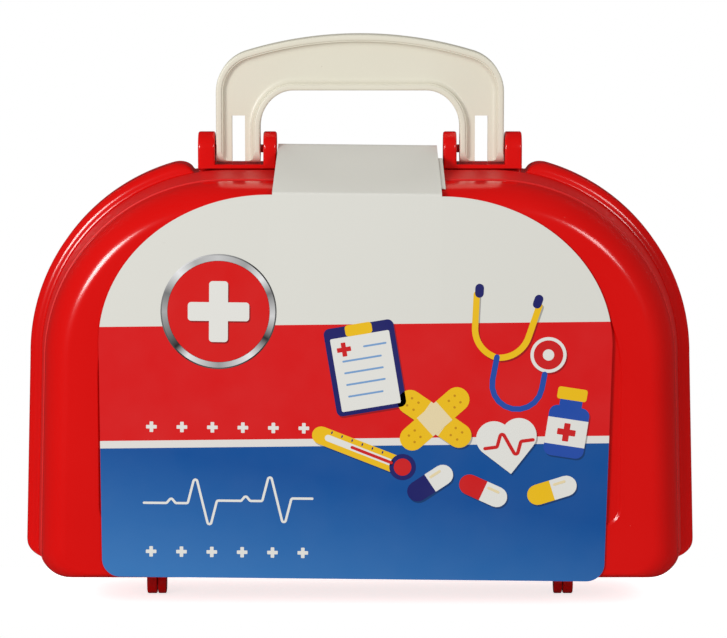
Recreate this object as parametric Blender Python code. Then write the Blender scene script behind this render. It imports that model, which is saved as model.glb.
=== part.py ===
"""Toy doctor case: two moulded shells hinged at the foot, a snap-on swing handle and a card sleeve.

Metres, +Z up, +X to the case's right as seen from its printed front, which faces -Y.
The origin lies under the middle of the case, level with the underside of the hinge knuckles.
"""
import math

import bmesh
import bpy
from mathutils import Matrix, Vector

# Gaps and cuts
PARTING_GAP = 0.0003
SEAT_GAP = 0.0003
PIN_CLEARANCE = 0.0003
CUT_OVERRUN = 0.002
WELD_OVERLAP = 0.0006

# Hinge at the foot, which sets the height of the base
HINGE_KNUCKLE_RADIUS = 0.0056
HINGE_Z = HINGE_KNUCKLE_RADIUS
HINGE_PIN_RADIUS = 0.0018
KNUCKLE_BASE_GAP = 0.0012
FRONT_KNUCKLE_INNER_X = 0.0867
FRONT_KNUCKLE_WIDTH = 0.0043
BACK_KNUCKLE_WIDTH = 0.0036
KNUCKLE_WEB_SETBACK = 0.0006
KNUCKLE_EDGE_ROUND = 0.0009

# Outline of the case, over the bumper bead
CASE_HALF_WIDTH = 0.1395
SHOULDER_RADIUS = 0.0841
SHOULDER_Z = 0.1043
SIDE_FLARE_SHARE = 0.0305
BASE_Z = 2 * HINGE_KNUCKLE_RADIUS + KNUCKLE_BASE_GAP
BASE_CORNER_RADIUS = 0.0105

# Walls of a shell, from the parting plane outwards
WALL = 0.0022
HALF_DEPTH = 0.0435
STEP_DEPTH = 0.026
STEP_LEDGE = 0.0006
WALL_DRAFT = 0.0021
BASE_DRAFT = 0.0012
CROWN_INSET = 0.012
CROWN_BASE_INSET = 0.004

# Handle, from its turning axis and the grip outwards
GRIP_HALF_WIDTH = 0.0419
LEG_WIDTH = 0.0185
HANDLE_HALF_WIDTH = GRIP_HALF_WIDTH + LEG_WIDTH
HANDLE_THICKNESS = 0.0116
HANDLE_CROWN_RADIUS = 0.164
HANDLE_SHOULDER_RADIUS = 0.0178
HANDLE_EDGE_ROUND = 0.0008
HANDLE_FOOT_CORNER = 0.0025
GRIP_CORNER_WIDE = 0.014
GRIP_CORNER_HIGH = 0.016
RIM_WIDTH = 0.0025
RIM_DRAFT = 0.0007
WEB_THICKNESS = 0.006
POCKET_CORNER = 0.0006
INNER_PRONG_WIDTH = 0.0064
SLOT_WIDTH = 0.0055
HANDLE_RISE = 0.0482
GRIP_RISE = 0.0248
SLOT_RISE = 0.0141
FOOT_CLEARANCE = 0.0004

# Ears that carry the handle, on saddles over the rim
EAR_RADIUS = 0.0072
EAR_EDGE_ROUND = 0.0008
EAR_INNER_WIDTH = 0.0056
EAR_INNER_GAP = 0.0013
EAR_OUTER_WIDTH = 0.0072
EAR_OUTER_GAP = 0.0004
EAR_PIN_RADIUS = 0.0017
EAR_PIN_LENGTH = 0.0044
EAR_INNER_X = GRIP_HALF_WIDTH - EAR_INNER_GAP - EAR_INNER_WIDTH
EAR_OUTER_X = HANDLE_HALF_WIDTH + EAR_OUTER_GAP
SADDLE_THICKNESS = 0.0016
SADDLE_BACK_Y = 0.009
SADDLE_RIM_GAP = 0.0004
SADDLE_EDGE_ROUND = 0.0004

# Bumper bead round the sides and shoulders, from beside the ears down to near the base
BEAD_PROUD = 0.0054
BEAD_DEPTH = 0.009
BEAD_ROUND = 0.004
BEAD_END_LENGTH = 0.008
BEAD_EAR_GAP = 0.003
BEAD_BASE_GAP = 0.0053
BEAD_TOP_X = EAR_OUTER_X + EAR_OUTER_WIDTH + BEAD_EAR_GAP
BEAD_FOOT_Z = BASE_Z + BEAD_BASE_GAP

# Heights that follow the rim's top
RIM_TOP_Z = SHOULDER_Z + SHOULDER_RADIUS - BEAD_PROUD
SADDLE_TOP_Z = RIM_TOP_Z + SADDLE_RIM_GAP + SADDLE_THICKNESS
EAR_AXIS_Z = SADDLE_TOP_Z + FOOT_CLEARANCE + HANDLE_THICKNESS / 2
HANDLE_TOP_Z = EAR_AXIS_Z + HANDLE_RISE
GRIP_TOP_Z = EAR_AXIS_Z + GRIP_RISE
SLOT_TOP_Z = EAR_AXIS_Z + SLOT_RISE

# Locating lip and closure tongue inside the front shell
LIP_REACH = 0.003
LIP_ROOT_DEPTH = 0.005
LIP_THICKNESS = 0.0016
LIP_END_MARGIN = 0.01
TONGUE_HALF_WIDTH = 0.015
TONGUE_REACH = 0.008
TONGUE_ROOT_DEPTH = 0.008
TONGUE_THICKNESS = 0.0016
TONGUE_CLEARANCE = 0.0005
SNAP_RIDGE_HEIGHT = 0.0002
SNAP_RIDGE_HALF_WIDTH = 0.001

# Shallow place for a label in the front face
LABEL_SIDE_MARGIN = 0.0312
LABEL_SHOULDER_RADIUS = 0.062
LABEL_SHOULDER_DROP = 0.0043
LABEL_BASE_MARGIN = 0.0252
LABEL_CORNER_RADIUS = 0.008
LABEL_DEPTH = 0.0008
LABEL_EDGE_SLOPE = 0.0006

# Card sleeve: a D-shaped front panel with a strap over the top between the ears
CARD_THICKNESS = 0.0005
CARD_SIDE_MARGIN = 0.0336
CARD_SHOULDER_RISE = 0.0097
CARD_BASE_MARGIN = 0.0032
CARD_CORNER_RADIUS = 0.0075
CARD_SIDE_FLARE_SHARE = -0.0165
CARD_SHIFT = -0.0019
CARD_TILT_SHARE = 0.0105
STRAP_FOLD_HALF_WIDTH = 0.0348
STRAP_CORNER_STEP = 0.0004
STRAP_EAR_GAP = 0.0016
STRAP_CROWN_GAP = 0.0014
STRAP_FOLD_ROUND = 0.0012
STRAP_APEX_RISE = 0.0014
STRAP_APEX_HALF_DEPTH = 0.003
STRAP_APEX_CROWN = 0.0006
STRAP_PANEL_LAP = 0.004
LAP_FOLD_MARGIN = 0.005
LAP_APEX_MARGIN = 0.0085
LAP_SIDE_SHIFT = 0.0018
LAP_SINK_SHARE = 0.8
TUCK_LENGTH = 0.006
BACK_FLAP_LENGTH = 0.055
STRAP_APEX_Z = EAR_AXIS_Z + STRAP_APEX_RISE

# Steps round the curves
CORNER_STEPS = 5
SHOULDER_STEPS = 14
CROWN_STEPS = 6
BEAD_STEPS = 3
BEAD_END_STEPS = 4
BEAD_ARC_STEPS = 13
ROUND_STEPS = 20
EDGE_STEPS = 2
QUARTER = math.pi / 2

FRONT = -1
BACK = 1


def clear_scene():
    for item in list(bpy.data.objects):
        bpy.data.objects.remove(item, do_unlink=True)


def new_collection(name):
    collection = bpy.data.collections.new(name)
    bpy.context.scene.collection.children.link(collection)
    return collection


def new_material(name, colour, roughness, coat=0.0):
    material = bpy.data.materials.new(name)
    material.use_nodes = True
    shader = material.node_tree.nodes["Principled BSDF"]
    shader.inputs["Base Color"].default_value = (*colour, 1.0)
    shader.inputs["Roughness"].default_value = roughness
    shader.inputs["Metallic"].default_value = 0.0
    shader.inputs["Coat Weight"].default_value = coat
    material.diffuse_color = (*colour, 1.0)
    return material


def joint_empty(name, z, collection):
    """Empty on a joint's axis, which runs along X; the pieces that turn about it are its children."""
    empty = bpy.data.objects.new(name, None)
    empty.location = (0.0, 0.0, z)
    empty.empty_display_size = WALL
    collection.objects.link(empty)
    return empty


def add_loft(mesh, rings):
    """Join closed rings of equal length in order and cap both ends."""
    loops = [[mesh.verts.new(point) for point in ring] for ring in rings]
    for near, far in zip(loops, loops[1:]):
        count = len(near)
        for i in range(count):
            j = (i + 1) % count
            mesh.faces.new((near[i], near[j], far[j], far[i]))
    mesh.faces.new(reversed(loops[0]))
    mesh.faces.new(loops[-1])


def solid(name, lofts, collection, parent=None):
    """One object from lofts that don't touch each other."""
    mesh = bmesh.new()
    for rings in lofts:
        add_loft(mesh, rings)
    bmesh.ops.recalc_face_normals(mesh, faces=mesh.faces)
    data = bpy.data.meshes.new(name)
    mesh.to_mesh(data)
    mesh.free()
    item = bpy.data.objects.new(name, data)
    collection.objects.link(item)
    if parent:
        item.parent = parent
        item.matrix_parent_inverse = Matrix.Translation(parent.location).inverted()
    return item


def combine(piece, tool, operation):
    """Add a tool to a piece, or cut it away, with a Boolean; the tool moves with the piece."""
    tool.parent = piece.parent
    tool.matrix_parent_inverse = piece.matrix_parent_inverse
    tool.display_type = "WIRE"
    tool.hide_render = True
    step = piece.modifiers.new(tool.name, "BOOLEAN")
    step.operation = operation
    step.solver = "EXACT"
    step.object = tool


def finish_piece(piece, material):
    piece.data.materials.append(material)
    piece.data.shade_smooth()
    piece.data.set_sharp_from_angle(angle=math.radians(32))


def both_sides(rings):
    """A loft on the right and its mirror image on the left."""
    return [rings, [[(-x, y, z) for x, y, z in ring] for ring in rings]]


def arc(centre, wide, high, start, end, steps):
    """Points of an elliptical arc, ends included."""
    points = []
    for i in range(steps + 1):
        angle = start + (end - start) * i / steps
        points.append((centre[0] + wide * math.cos(angle), centre[1] + high * math.sin(angle)))
    return points


def d_outline(half_width, flare_share, shoulder_wide, shoulder_high, shoulder_z, base_z, corner):
    """Points (x, z) of a D: flat base, flared sides, round shoulders and flat top, from the base's middle."""
    corner_z = base_z + corner
    corner_x = half_width + flare_share * (shoulder_z - corner_z) - corner
    right = [(0.0, base_z)]
    right += arc((corner_x, corner_z), corner, corner, -QUARTER, 0.0, CORNER_STEPS)
    right += arc((half_width - shoulder_wide, shoulder_z), shoulder_wide, shoulder_high, 0.0, QUARTER,
                 SHOULDER_STEPS)
    right.append((0.0, shoulder_z + shoulder_high))
    left = [(-x, z) for x, z in reversed(right[1:-1])]
    return right + left


def at_depth(points, y):
    return [(x, y, z) for x, z in points]


def case_ring(facing, depth, inset, base_z, corner):
    outline = d_outline(CASE_HALF_WIDTH - inset, SIDE_FLARE_SHARE, SHOULDER_RADIUS - inset,
                        SHOULDER_RADIUS - inset, SHOULDER_Z, base_z, corner)
    return at_depth(outline, facing * depth)


def shell_outside(facing):
    step_inset = BEAD_PROUD + WALL_DRAFT
    step_base = BASE_Z + BASE_DRAFT
    corner = BASE_CORNER_RADIUS
    rings = [case_ring(facing, PARTING_GAP / 2, BEAD_PROUD, BASE_Z, corner)]
    rings.append(case_ring(facing, BEAD_DEPTH, BEAD_PROUD, BASE_Z, corner))
    rings.append(case_ring(facing, STEP_DEPTH, step_inset, step_base, corner))
    for i in range(CROWN_STEPS + 1):
        angle = QUARTER * i / CROWN_STEPS
        drawn_in = 1 - math.cos(angle)
        rings.append(case_ring(
            facing, STEP_DEPTH + (HALF_DEPTH - STEP_DEPTH) * math.sin(angle),
            step_inset + STEP_LEDGE + CROWN_INSET * drawn_in,
            step_base + STEP_LEDGE / 2 + CROWN_BASE_INSET * drawn_in, corner))
    return rings


def shell_inside(facing):
    """The hollow, a wall's thickness inside shell_outside and open at the parting plane."""
    step_inset = BEAD_PROUD + WALL_DRAFT + STEP_LEDGE + WALL
    step_base = BASE_Z + BASE_DRAFT + STEP_LEDGE / 2 + WALL
    corner = BASE_CORNER_RADIUS - WALL
    rings = [case_ring(facing, -CUT_OVERRUN, BEAD_PROUD + WALL, BASE_Z + WALL, corner)]
    rings.append(case_ring(facing, BEAD_DEPTH, BEAD_PROUD + WALL, BASE_Z + WALL, corner))
    for i in range(CROWN_STEPS + 1):
        angle = QUARTER * i / CROWN_STEPS
        drawn_in = 1 - math.cos(angle)
        rings.append(case_ring(
            facing, STEP_DEPTH + (HALF_DEPTH - WALL - STEP_DEPTH) * math.sin(angle),
            step_inset + (CROWN_INSET - WALL) * drawn_in,
            step_base + (CROWN_BASE_INSET - WALL) * drawn_in, corner))
    return rings


def bead_path(margin):
    """Distances along the bead from its top end, closer together where its two ends run out."""
    top_angle = math.acos((BEAD_TOP_X - CASE_HALF_WIDTH + SHOULDER_RADIUS) / SHOULDER_RADIUS)
    arc_length = SHOULDER_RADIUS * top_angle
    length = arc_length + SHOULDER_Z - BEAD_FOOT_Z
    near = [margin + BEAD_END_LENGTH * (1 - math.cos(QUARTER * i / BEAD_END_STEPS))
            for i in range(BEAD_END_STEPS + 1)]
    middle = [near[-1] + (arc_length - near[-1]) * (i + 1) / BEAD_ARC_STEPS for i in range(BEAD_ARC_STEPS)]
    far = [length - distance for distance in reversed(near)]
    return near + middle + far, arc_length, length, top_angle


def bead_point(distance, inset, arc_length, top_angle):
    """Point (x, z) at a distance along the bead and an inset from the case's widest outline."""
    radius = SHOULDER_RADIUS - inset
    if distance <= arc_length:
        angle = top_angle * (1 - distance / arc_length)
        return (CASE_HALF_WIDTH - SHOULDER_RADIUS + radius * math.cos(angle),
                SHOULDER_Z + radius * math.sin(angle))
    drop = distance - arc_length
    return CASE_HALF_WIDTH - inset + SIDE_FLARE_SHARE * drop, SHOULDER_Z - drop


def bead_ring(facing, depth, crest_inset, wall):
    """Section of the bead: its crest, running out to the wall at both ends, and its root inside the wall."""
    distances, arc_length, length, top_angle = bead_path(wall)
    crest = []
    root = []
    for distance in distances:
        to_end = min(distance, length - distance) - wall
        along = min(max(to_end / BEAD_END_LENGTH, 0.0), 1.0)
        run_out = 1 - math.sqrt(1 - (1 - along) ** 2)
        inset = wall + crest_inset + (BEAD_PROUD - crest_inset) * run_out
        crest.append(bead_point(distance, inset, arc_length, top_angle))
        root.append(bead_point(distance, BEAD_PROUD + wall + WALL / 2, arc_length, top_angle))
    return at_depth(crest + root[::-1], facing * depth)


def bead(facing, wall, start):
    """The bead's outside, or its inside where wall is its thickness, from the depth start outwards."""
    flat_depth = BEAD_DEPTH - BEAD_ROUND
    radius = BEAD_ROUND - wall
    rings = [bead_ring(facing, start, 0.0, wall)]
    for i in range(BEAD_STEPS + 1):
        angle = QUARTER * i / BEAD_STEPS
        rings.append(bead_ring(facing, flat_depth + radius * math.sin(angle), radius * (1 - math.cos(angle)),
                               wall))
    return both_sides(rings)


def lip_ring(depth, outer_inset, inner_inset, margin):
    distances, arc_length, length, top_angle = bead_path(margin)
    outer = [bead_point(distance, outer_inset, arc_length, top_angle) for distance in distances]
    inner = [bead_point(distance, inner_inset, arc_length, top_angle) for distance in distances]
    return at_depth(outer + inner[::-1], FRONT * depth)


def locating_lip():
    """Lip along the bead's inner wall: rooted in the front shell, it slides inside the back shell's bead."""
    rooted = WALL - WELD_OVERLAP
    free = WALL + SEAT_GAP
    inner = free + LIP_THICKNESS
    return both_sides([
        lip_ring(LIP_ROOT_DEPTH, rooted, inner + SEAT_GAP, LIP_END_MARGIN),
        lip_ring(PARTING_GAP / 2, rooted, inner + SEAT_GAP, LIP_END_MARGIN),
        lip_ring(PARTING_GAP / 2, free, inner, LIP_END_MARGIN + SEAT_GAP),
        lip_ring(-LIP_REACH, free, inner, LIP_END_MARGIN + SEAT_GAP)])


def along_x(profile, start_x, width, edge_round):
    """Loft of a profile (y, z), given as a function of its inset, along X with rounded end edges."""
    rings = []
    for i in range(EDGE_STEPS + 1):
        angle = QUARTER * i / EDGE_STEPS
        inset = edge_round * (1 - math.sin(angle))
        x = start_x + edge_round * (1 - math.cos(angle))
        rings.append([(x, y, z) for y, z in profile(inset)])
    middle = start_x + width / 2
    mirrored = [[(2 * middle - x, y, z) for x, y, z in ring] for ring in reversed(rings)]
    return rings + mirrored


def pin(start_x, length, radius, z):
    """Round pin along X."""
    profile = arc((0.0, z), radius, radius, 0.0, 2 * math.pi, ROUND_STEPS)[:-1]
    return [[(x, y, height) for y, height in profile] for x in (start_x, start_x + length)]


def closure_tongue():
    """Tongue under the top wall that snaps into the back shell with a low ridge."""
    ceiling = RIM_TOP_Z - WALL
    top = ceiling - TONGUE_CLEARANCE
    bottom = top - TONGUE_THICKNESS
    ridge_y = TONGUE_REACH - TONGUE_THICKNESS - SNAP_RIDGE_HALF_WIDTH
    profile = [
        (-TONGUE_ROOT_DEPTH, bottom),
        (-TONGUE_ROOT_DEPTH, ceiling + WELD_OVERLAP),
        (-PARTING_GAP / 2, ceiling + WELD_OVERLAP),
        (-PARTING_GAP / 2, top),
        (ridge_y - SNAP_RIDGE_HALF_WIDTH, top),
        (ridge_y, top + SNAP_RIDGE_HEIGHT),
        (ridge_y + SNAP_RIDGE_HALF_WIDTH, top),
        (TONGUE_REACH, top - TONGUE_THICKNESS / 2),
        (TONGUE_REACH, bottom)]
    return [[[(x, y, z) for y, z in profile] for x in (-TONGUE_HALF_WIDTH, TONGUE_HALF_WIDTH)]]


def label_recess():
    """Cutter for the label's place: straight through the face's skin, with a slightly sloped edge."""
    rings = []
    floor_depth = HALF_DEPTH - LABEL_DEPTH
    for depth, inset in ((HALF_DEPTH + CUT_OVERRUN, 0.0), (HALF_DEPTH, 0.0), (floor_depth, LABEL_EDGE_SLOPE)):
        radius = LABEL_SHOULDER_RADIUS - inset
        outline = d_outline(CASE_HALF_WIDTH - LABEL_SIDE_MARGIN - inset, 0.0, radius, radius,
                            SHOULDER_Z - LABEL_SHOULDER_DROP, BASE_Z + LABEL_BASE_MARGIN + inset,
                            LABEL_CORNER_RADIUS)
        rings.append(at_depth(outline, FRONT * depth))
    return [rings]


def knuckle_profile(facing, inset):
    """Hinge knuckle: a disc about the hinge axis with a web up into its own shell's base."""
    radius = HINGE_KNUCKLE_RADIUS - inset
    setback = KNUCKLE_WEB_SETBACK + inset
    web_angle = QUARTER + math.asin(setback / radius)
    disc = arc((0.0, HINGE_Z), radius, radius, math.pi, web_angle + 2 * math.pi, ROUND_STEPS)
    top = BASE_Z + WELD_OVERLAP
    points = [(-radius, top)] + disc + [(-setback, top)]
    return [(-facing * y, z) for y, z in points]


def knuckles(facing, start_x, width):
    return both_sides(along_x(lambda inset: knuckle_profile(facing, inset), start_x, width,
                              KNUCKLE_EDGE_ROUND))


def ear_profile(inset):
    radius = EAR_RADIUS - inset
    foot = SADDLE_TOP_Z - WELD_OVERLAP
    return [(radius, foot)] + arc((0.0, EAR_AXIS_Z), radius, radius, 0.0, math.pi, ROUND_STEPS // 2) + \
        [(-radius, foot)]


def ears():
    inner = along_x(ear_profile, EAR_INNER_X, EAR_INNER_WIDTH, EAR_EDGE_ROUND)
    outer = along_x(ear_profile, EAR_OUTER_X, EAR_OUTER_WIDTH, EAR_EDGE_ROUND)
    return both_sides(inner) + both_sides(outer)


def ear_pins():
    """Stub pins on facing sides of each pair of ears, over which the handle's prongs snap."""
    inner_start = EAR_INNER_X + EAR_INNER_WIDTH - WELD_OVERLAP
    outer_start = EAR_OUTER_X - EAR_PIN_LENGTH
    length = EAR_PIN_LENGTH + WELD_OVERLAP
    return both_sides(pin(inner_start, length, EAR_PIN_RADIUS, EAR_AXIS_Z)) + \
        both_sides(pin(outer_start, length, EAR_PIN_RADIUS, EAR_AXIS_Z))


def saddle_profile(inset):
    """Saddle: grown from the back shell's rim and overhanging the front shell's by the ear's radius."""
    underside = RIM_TOP_Z + SADDLE_RIM_GAP
    seat = RIM_TOP_Z - WALL / 2
    return [(-EAR_RADIUS + inset, underside), (PARTING_GAP / 2, underside), (PARTING_GAP / 2, seat),
            (SADDLE_BACK_Y - inset, seat), (SADDLE_BACK_Y - inset, SADDLE_TOP_Z - inset),
            (-EAR_RADIUS + inset, SADDLE_TOP_Z - inset)]


def saddles():
    width = EAR_OUTER_X + EAR_OUTER_WIDTH - EAR_INNER_X
    return both_sides(along_x(saddle_profile, EAR_INNER_X, width, SADDLE_EDGE_ROUND))


def make_back_shell(parts, cutters, material):
    piece = solid("back_shell", [shell_outside(BACK)], parts)
    combine(piece, solid("back_bead", bead(BACK, 0.0, PARTING_GAP / 2), cutters), "UNION")
    combine(piece, solid("back_hollow", [shell_inside(BACK)], cutters), "DIFFERENCE")
    combine(piece, solid("back_bead_hollow", bead(BACK, WALL, -CUT_OVERRUN), cutters), "DIFFERENCE")
    combine(piece, solid("saddles", saddles(), cutters), "UNION")
    combine(piece, solid("ears", ears(), cutters), "UNION")
    combine(piece, solid("ear_pins", ear_pins(), cutters), "UNION")
    start_x = FRONT_KNUCKLE_INNER_X - SEAT_GAP - BACK_KNUCKLE_WIDTH
    combine(piece, solid("back_knuckles", knuckles(BACK, start_x, BACK_KNUCKLE_WIDTH), cutters), "UNION")
    pin_start = start_x + BACK_KNUCKLE_WIDTH - WELD_OVERLAP
    pin_length = FRONT_KNUCKLE_INNER_X + FRONT_KNUCKLE_WIDTH - KNUCKLE_EDGE_ROUND - pin_start
    hinge_pins = both_sides(pin(pin_start, pin_length, HINGE_PIN_RADIUS, HINGE_Z))
    combine(piece, solid("hinge_pins", hinge_pins, cutters), "UNION")
    finish_piece(piece, material)


def make_front_shell(parts, cutters, hinge, material):
    piece = solid("front_shell", [shell_outside(FRONT)], parts, hinge)
    combine(piece, solid("front_bead", bead(FRONT, 0.0, PARTING_GAP / 2), cutters), "UNION")
    combine(piece, solid("front_hollow", [shell_inside(FRONT)], cutters), "DIFFERENCE")
    combine(piece, solid("front_bead_hollow", bead(FRONT, WALL, -CUT_OVERRUN), cutters), "DIFFERENCE")
    combine(piece, solid("label_recess", label_recess(), cutters), "DIFFERENCE")
    combine(piece, solid("locating_lip", locating_lip(), cutters), "UNION")
    combine(piece, solid("closure_tongue", closure_tongue(), cutters), "UNION")
    front_knuckles = knuckles(FRONT, FRONT_KNUCKLE_INNER_X, FRONT_KNUCKLE_WIDTH)
    combine(piece, solid("front_knuckles", front_knuckles, cutters), "UNION")
    bore_start = FRONT_KNUCKLE_INNER_X - CUT_OVERRUN
    bore_length = FRONT_KNUCKLE_WIDTH + 2 * CUT_OVERRUN
    bores = both_sides(pin(bore_start, bore_length, HINGE_PIN_RADIUS + PIN_CLEARANCE, HINGE_Z))
    combine(piece, solid("hinge_bores", bores, cutters), "DIFFERENCE")
    finish_piece(piece, material)


def arch_outline(inset, foot_z, foot_corner):
    """Points (x, z) round the handle: the outer edge from the right foot to the left, then the grip."""
    crown_z = HANDLE_TOP_Z - HANDLE_CROWN_RADIUS
    shoulder_x = HANDLE_HALF_WIDTH - HANDLE_SHOULDER_RADIUS
    reach = HANDLE_CROWN_RADIUS - HANDLE_SHOULDER_RADIUS
    shoulder_z = crown_z + math.sqrt(reach ** 2 - shoulder_x ** 2)
    join_angle = math.atan2(shoulder_z - crown_z, shoulder_x)
    crown = HANDLE_CROWN_RADIUS - inset
    shoulder = HANDLE_SHOULDER_RADIUS - inset
    foot_x = HANDLE_HALF_WIDTH - inset - foot_corner
    right = arc((foot_x, foot_z + foot_corner), foot_corner, foot_corner, -QUARTER, 0.0, CORNER_STEPS - 1)
    right += arc((shoulder_x, shoulder_z), shoulder, shoulder, 0.0, join_angle, SHOULDER_STEPS // 2)
    right += arc((0.0, crown_z), crown, crown, join_angle, QUARTER, CROWN_STEPS // 2)[1:]
    outer = right + [(-x, z) for x, z in reversed(right[:-1])]
    corner_x = GRIP_HALF_WIDTH - GRIP_CORNER_WIDE
    corner_z = GRIP_TOP_Z - GRIP_CORNER_HIGH
    grip = [(GRIP_HALF_WIDTH + inset, foot_z)]
    grip += arc((corner_x, corner_z), GRIP_CORNER_WIDE + inset, GRIP_CORNER_HIGH + inset, 0.0, QUARTER,
                SHOULDER_STEPS // 2)
    return outer + [(-x, z) for x, z in grip] + grip[::-1]


def handle_body():
    half = HANDLE_THICKNESS / 2
    foot_z = EAR_AXIS_Z - half
    rings = []
    for i in range(EDGE_STEPS + 1):
        angle = QUARTER * i / EDGE_STEPS
        inset = HANDLE_EDGE_ROUND * (1 - math.sin(angle))
        y = half - HANDLE_EDGE_ROUND * (1 - math.cos(angle))
        rings.append((y, arch_outline(inset, foot_z, HANDLE_FOOT_CORNER)))
    front = [at_depth(outline, -y) for y, outline in rings]
    back = [at_depth(outline, y) for y, outline in reversed(rings)]
    return [front + back]


def handle_pocket(facing):
    """Cutter for the recess that leaves a web between the rims; it runs out through the feet."""
    foot_z = EAR_AXIS_Z - HANDLE_THICKNESS
    surface = HANDLE_THICKNESS / 2
    deep = arch_outline(RIM_WIDTH + RIM_DRAFT, foot_z, POCKET_CORNER)
    shallow = arch_outline(RIM_WIDTH, foot_z, POCKET_CORNER)
    return [at_depth(deep, facing * WEB_THICKNESS / 2), at_depth(shallow, facing * surface),
            at_depth(shallow, facing * (surface + CUT_OVERRUN))]


def foot_trim():
    """Cutter that leaves the handle's feet round about the ear axis, so that they turn over the saddles."""
    radius = HANDLE_THICKNESS / 2
    outside = radius + CUT_OVERRUN
    profile = arc((0.0, EAR_AXIS_Z), radius, radius, math.pi, 2 * math.pi, ROUND_STEPS // 2)
    profile += [(outside, EAR_AXIS_Z), (outside, EAR_AXIS_Z - outside), (-outside, EAR_AXIS_Z - outside),
                (-outside, EAR_AXIS_Z)]
    width = HANDLE_HALF_WIDTH + CUT_OVERRUN
    return [[[(x, y, z) for y, z in profile] for x in (-width, width)]]


def slots():
    """Slots, open at the feet, that split each leg into two springy prongs."""
    half = HANDLE_THICKNESS / 2 + CUT_OVERRUN
    low = EAR_AXIS_Z - half
    corners = [(-half, low), (half, low), (half, SLOT_TOP_Z), (-half, SLOT_TOP_Z)]
    start_x = GRIP_HALF_WIDTH + INNER_PRONG_WIDTH
    return both_sides([[(x, y, z) for y, z in corners] for x in (start_x, start_x + SLOT_WIDTH)])


def make_handle(parts, cutters, pivot, material):
    piece = solid("handle", handle_body(), parts, pivot)
    pockets = [handle_pocket(FRONT), handle_pocket(BACK)]
    combine(piece, solid("handle_pockets", pockets, cutters), "DIFFERENCE")
    combine(piece, solid("foot_trim", foot_trim(), cutters), "DIFFERENCE")
    combine(piece, solid("slots", slots(), cutters), "DIFFERENCE")
    start_x = GRIP_HALF_WIDTH - CUT_OVERRUN
    length = HANDLE_HALF_WIDTH - GRIP_HALF_WIDTH + 2 * CUT_OVERRUN
    holes = both_sides(pin(start_x, length, EAR_PIN_RADIUS + PIN_CLEARANCE, EAR_AXIS_Z))
    combine(piece, solid("pin_holes", holes, cutters), "DIFFERENCE")
    finish_piece(piece, material)


def card_y():
    """Middle of the card's thickness where it lies on a shell's face."""
    return HALF_DEPTH + SEAT_GAP + CARD_THICKNESS / 2


def strap_fall():
    """How steeply the strap falls from its apex: as far as its gap to the crown of the shell allows."""
    step_top = RIM_TOP_Z - WALL_DRAFT - STEP_LEDGE
    falls = []
    for i in range(CROWN_STEPS + 1):
        angle = QUARTER * i / CROWN_STEPS
        y = STEP_DEPTH + (HALF_DEPTH - STEP_DEPTH) * math.sin(angle)
        z = step_top - CROWN_INSET * (1 - math.cos(angle))
        falls.append((STRAP_APEX_Z - STRAP_APEX_CROWN - z - STRAP_CROWN_GAP) / (y - STRAP_APEX_HALF_DEPTH))
    return min(falls)


def strap_slope():
    """Ends (y, z) of the strap's straight run, from above the front fold to just before the apex."""
    apex = (-STRAP_APEX_HALF_DEPTH, STRAP_APEX_Z - STRAP_APEX_CROWN)
    fold_y = STRAP_FOLD_ROUND - card_y()
    return (fold_y, apex[1] - strap_fall() * (apex[0] - fold_y)), apex


def panel_top_z():
    """Height where the panel ends and the strap's fold begins."""
    (_, fold_z), _ = strap_slope()
    return fold_z - STRAP_FOLD_ROUND


def slope_point(y):
    (fold_y, fold_z), (apex_y, apex_z) = strap_slope()
    return y, fold_z + (apex_z - fold_z) * (y - fold_y) / (apex_y - fold_y)


def half_width_at(y):
    """The strap narrows a little from the fold to pass between the ears."""
    (fold_y, _), (apex_y, _) = strap_slope()
    share = min(max((y - fold_y) / (apex_y - fold_y), 0), 1)
    ear_half_width = EAR_INNER_X - STRAP_EAR_GAP
    return STRAP_FOLD_HALF_WIDTH + (ear_half_width - STRAP_FOLD_HALF_WIDTH) * share


def strip(path, thickness, sideways=0.0, sink=0.0):
    """A flat strip along a path (y, z), mitred at its bends and sunk square to the path."""
    points = [Vector(point) for point in path]
    runs = [(far - near).normalized() for near, far in zip(points, points[1:])]
    rings = []
    for point, coming, going in zip(points, runs[:1] + runs, runs + runs[-1:]):
        heading = (coming + going).normalized()
        up = Vector((-heading.y, heading.x)) / heading.dot(going)
        half = half_width_at(-abs(point.x))
        top = point + up * (thickness / 2 - sink)
        low = point - up * (thickness / 2 + sink)
        rings.append([(sideways - half, top.x, top.y), (sideways + half, top.x, top.y),
                      (sideways + half, low.x, low.y), (sideways - half, low.x, low.y)])
    return rings


def front_strap_path():
    fold, apex = strap_slope()
    middle = slope_point((fold[0] + apex[0]) / 2)
    return [(-card_y(), panel_top_z() - STRAP_PANEL_LAP), (-card_y(), panel_top_z()), fold, middle, apex,
            (0.0, STRAP_APEX_Z)]


def lap_path():
    """The glued lap under the strap, from near the fold to near the apex."""
    fold, apex = strap_slope()
    return [slope_point(fold[0] + LAP_FOLD_MARGIN), slope_point(apex[0] - LAP_APEX_MARGIN)]


def back_strap_path():
    """From its tuck under the front strap, over the apex and down onto the back face."""
    drop = CARD_THICKNESS + SEAT_GAP
    fold, apex = strap_slope()
    over = [slope_point(apex[0] - TUCK_LENGTH), apex, (0.0, STRAP_APEX_Z), (-apex[0], apex[1])]
    down = [(-fold[0], fold[1] - drop / 2), (card_y(), panel_top_z()),
            (card_y(), panel_top_z() - BACK_FLAP_LENGTH)]
    return [(y, z - drop) for y, z in over] + down


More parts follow.
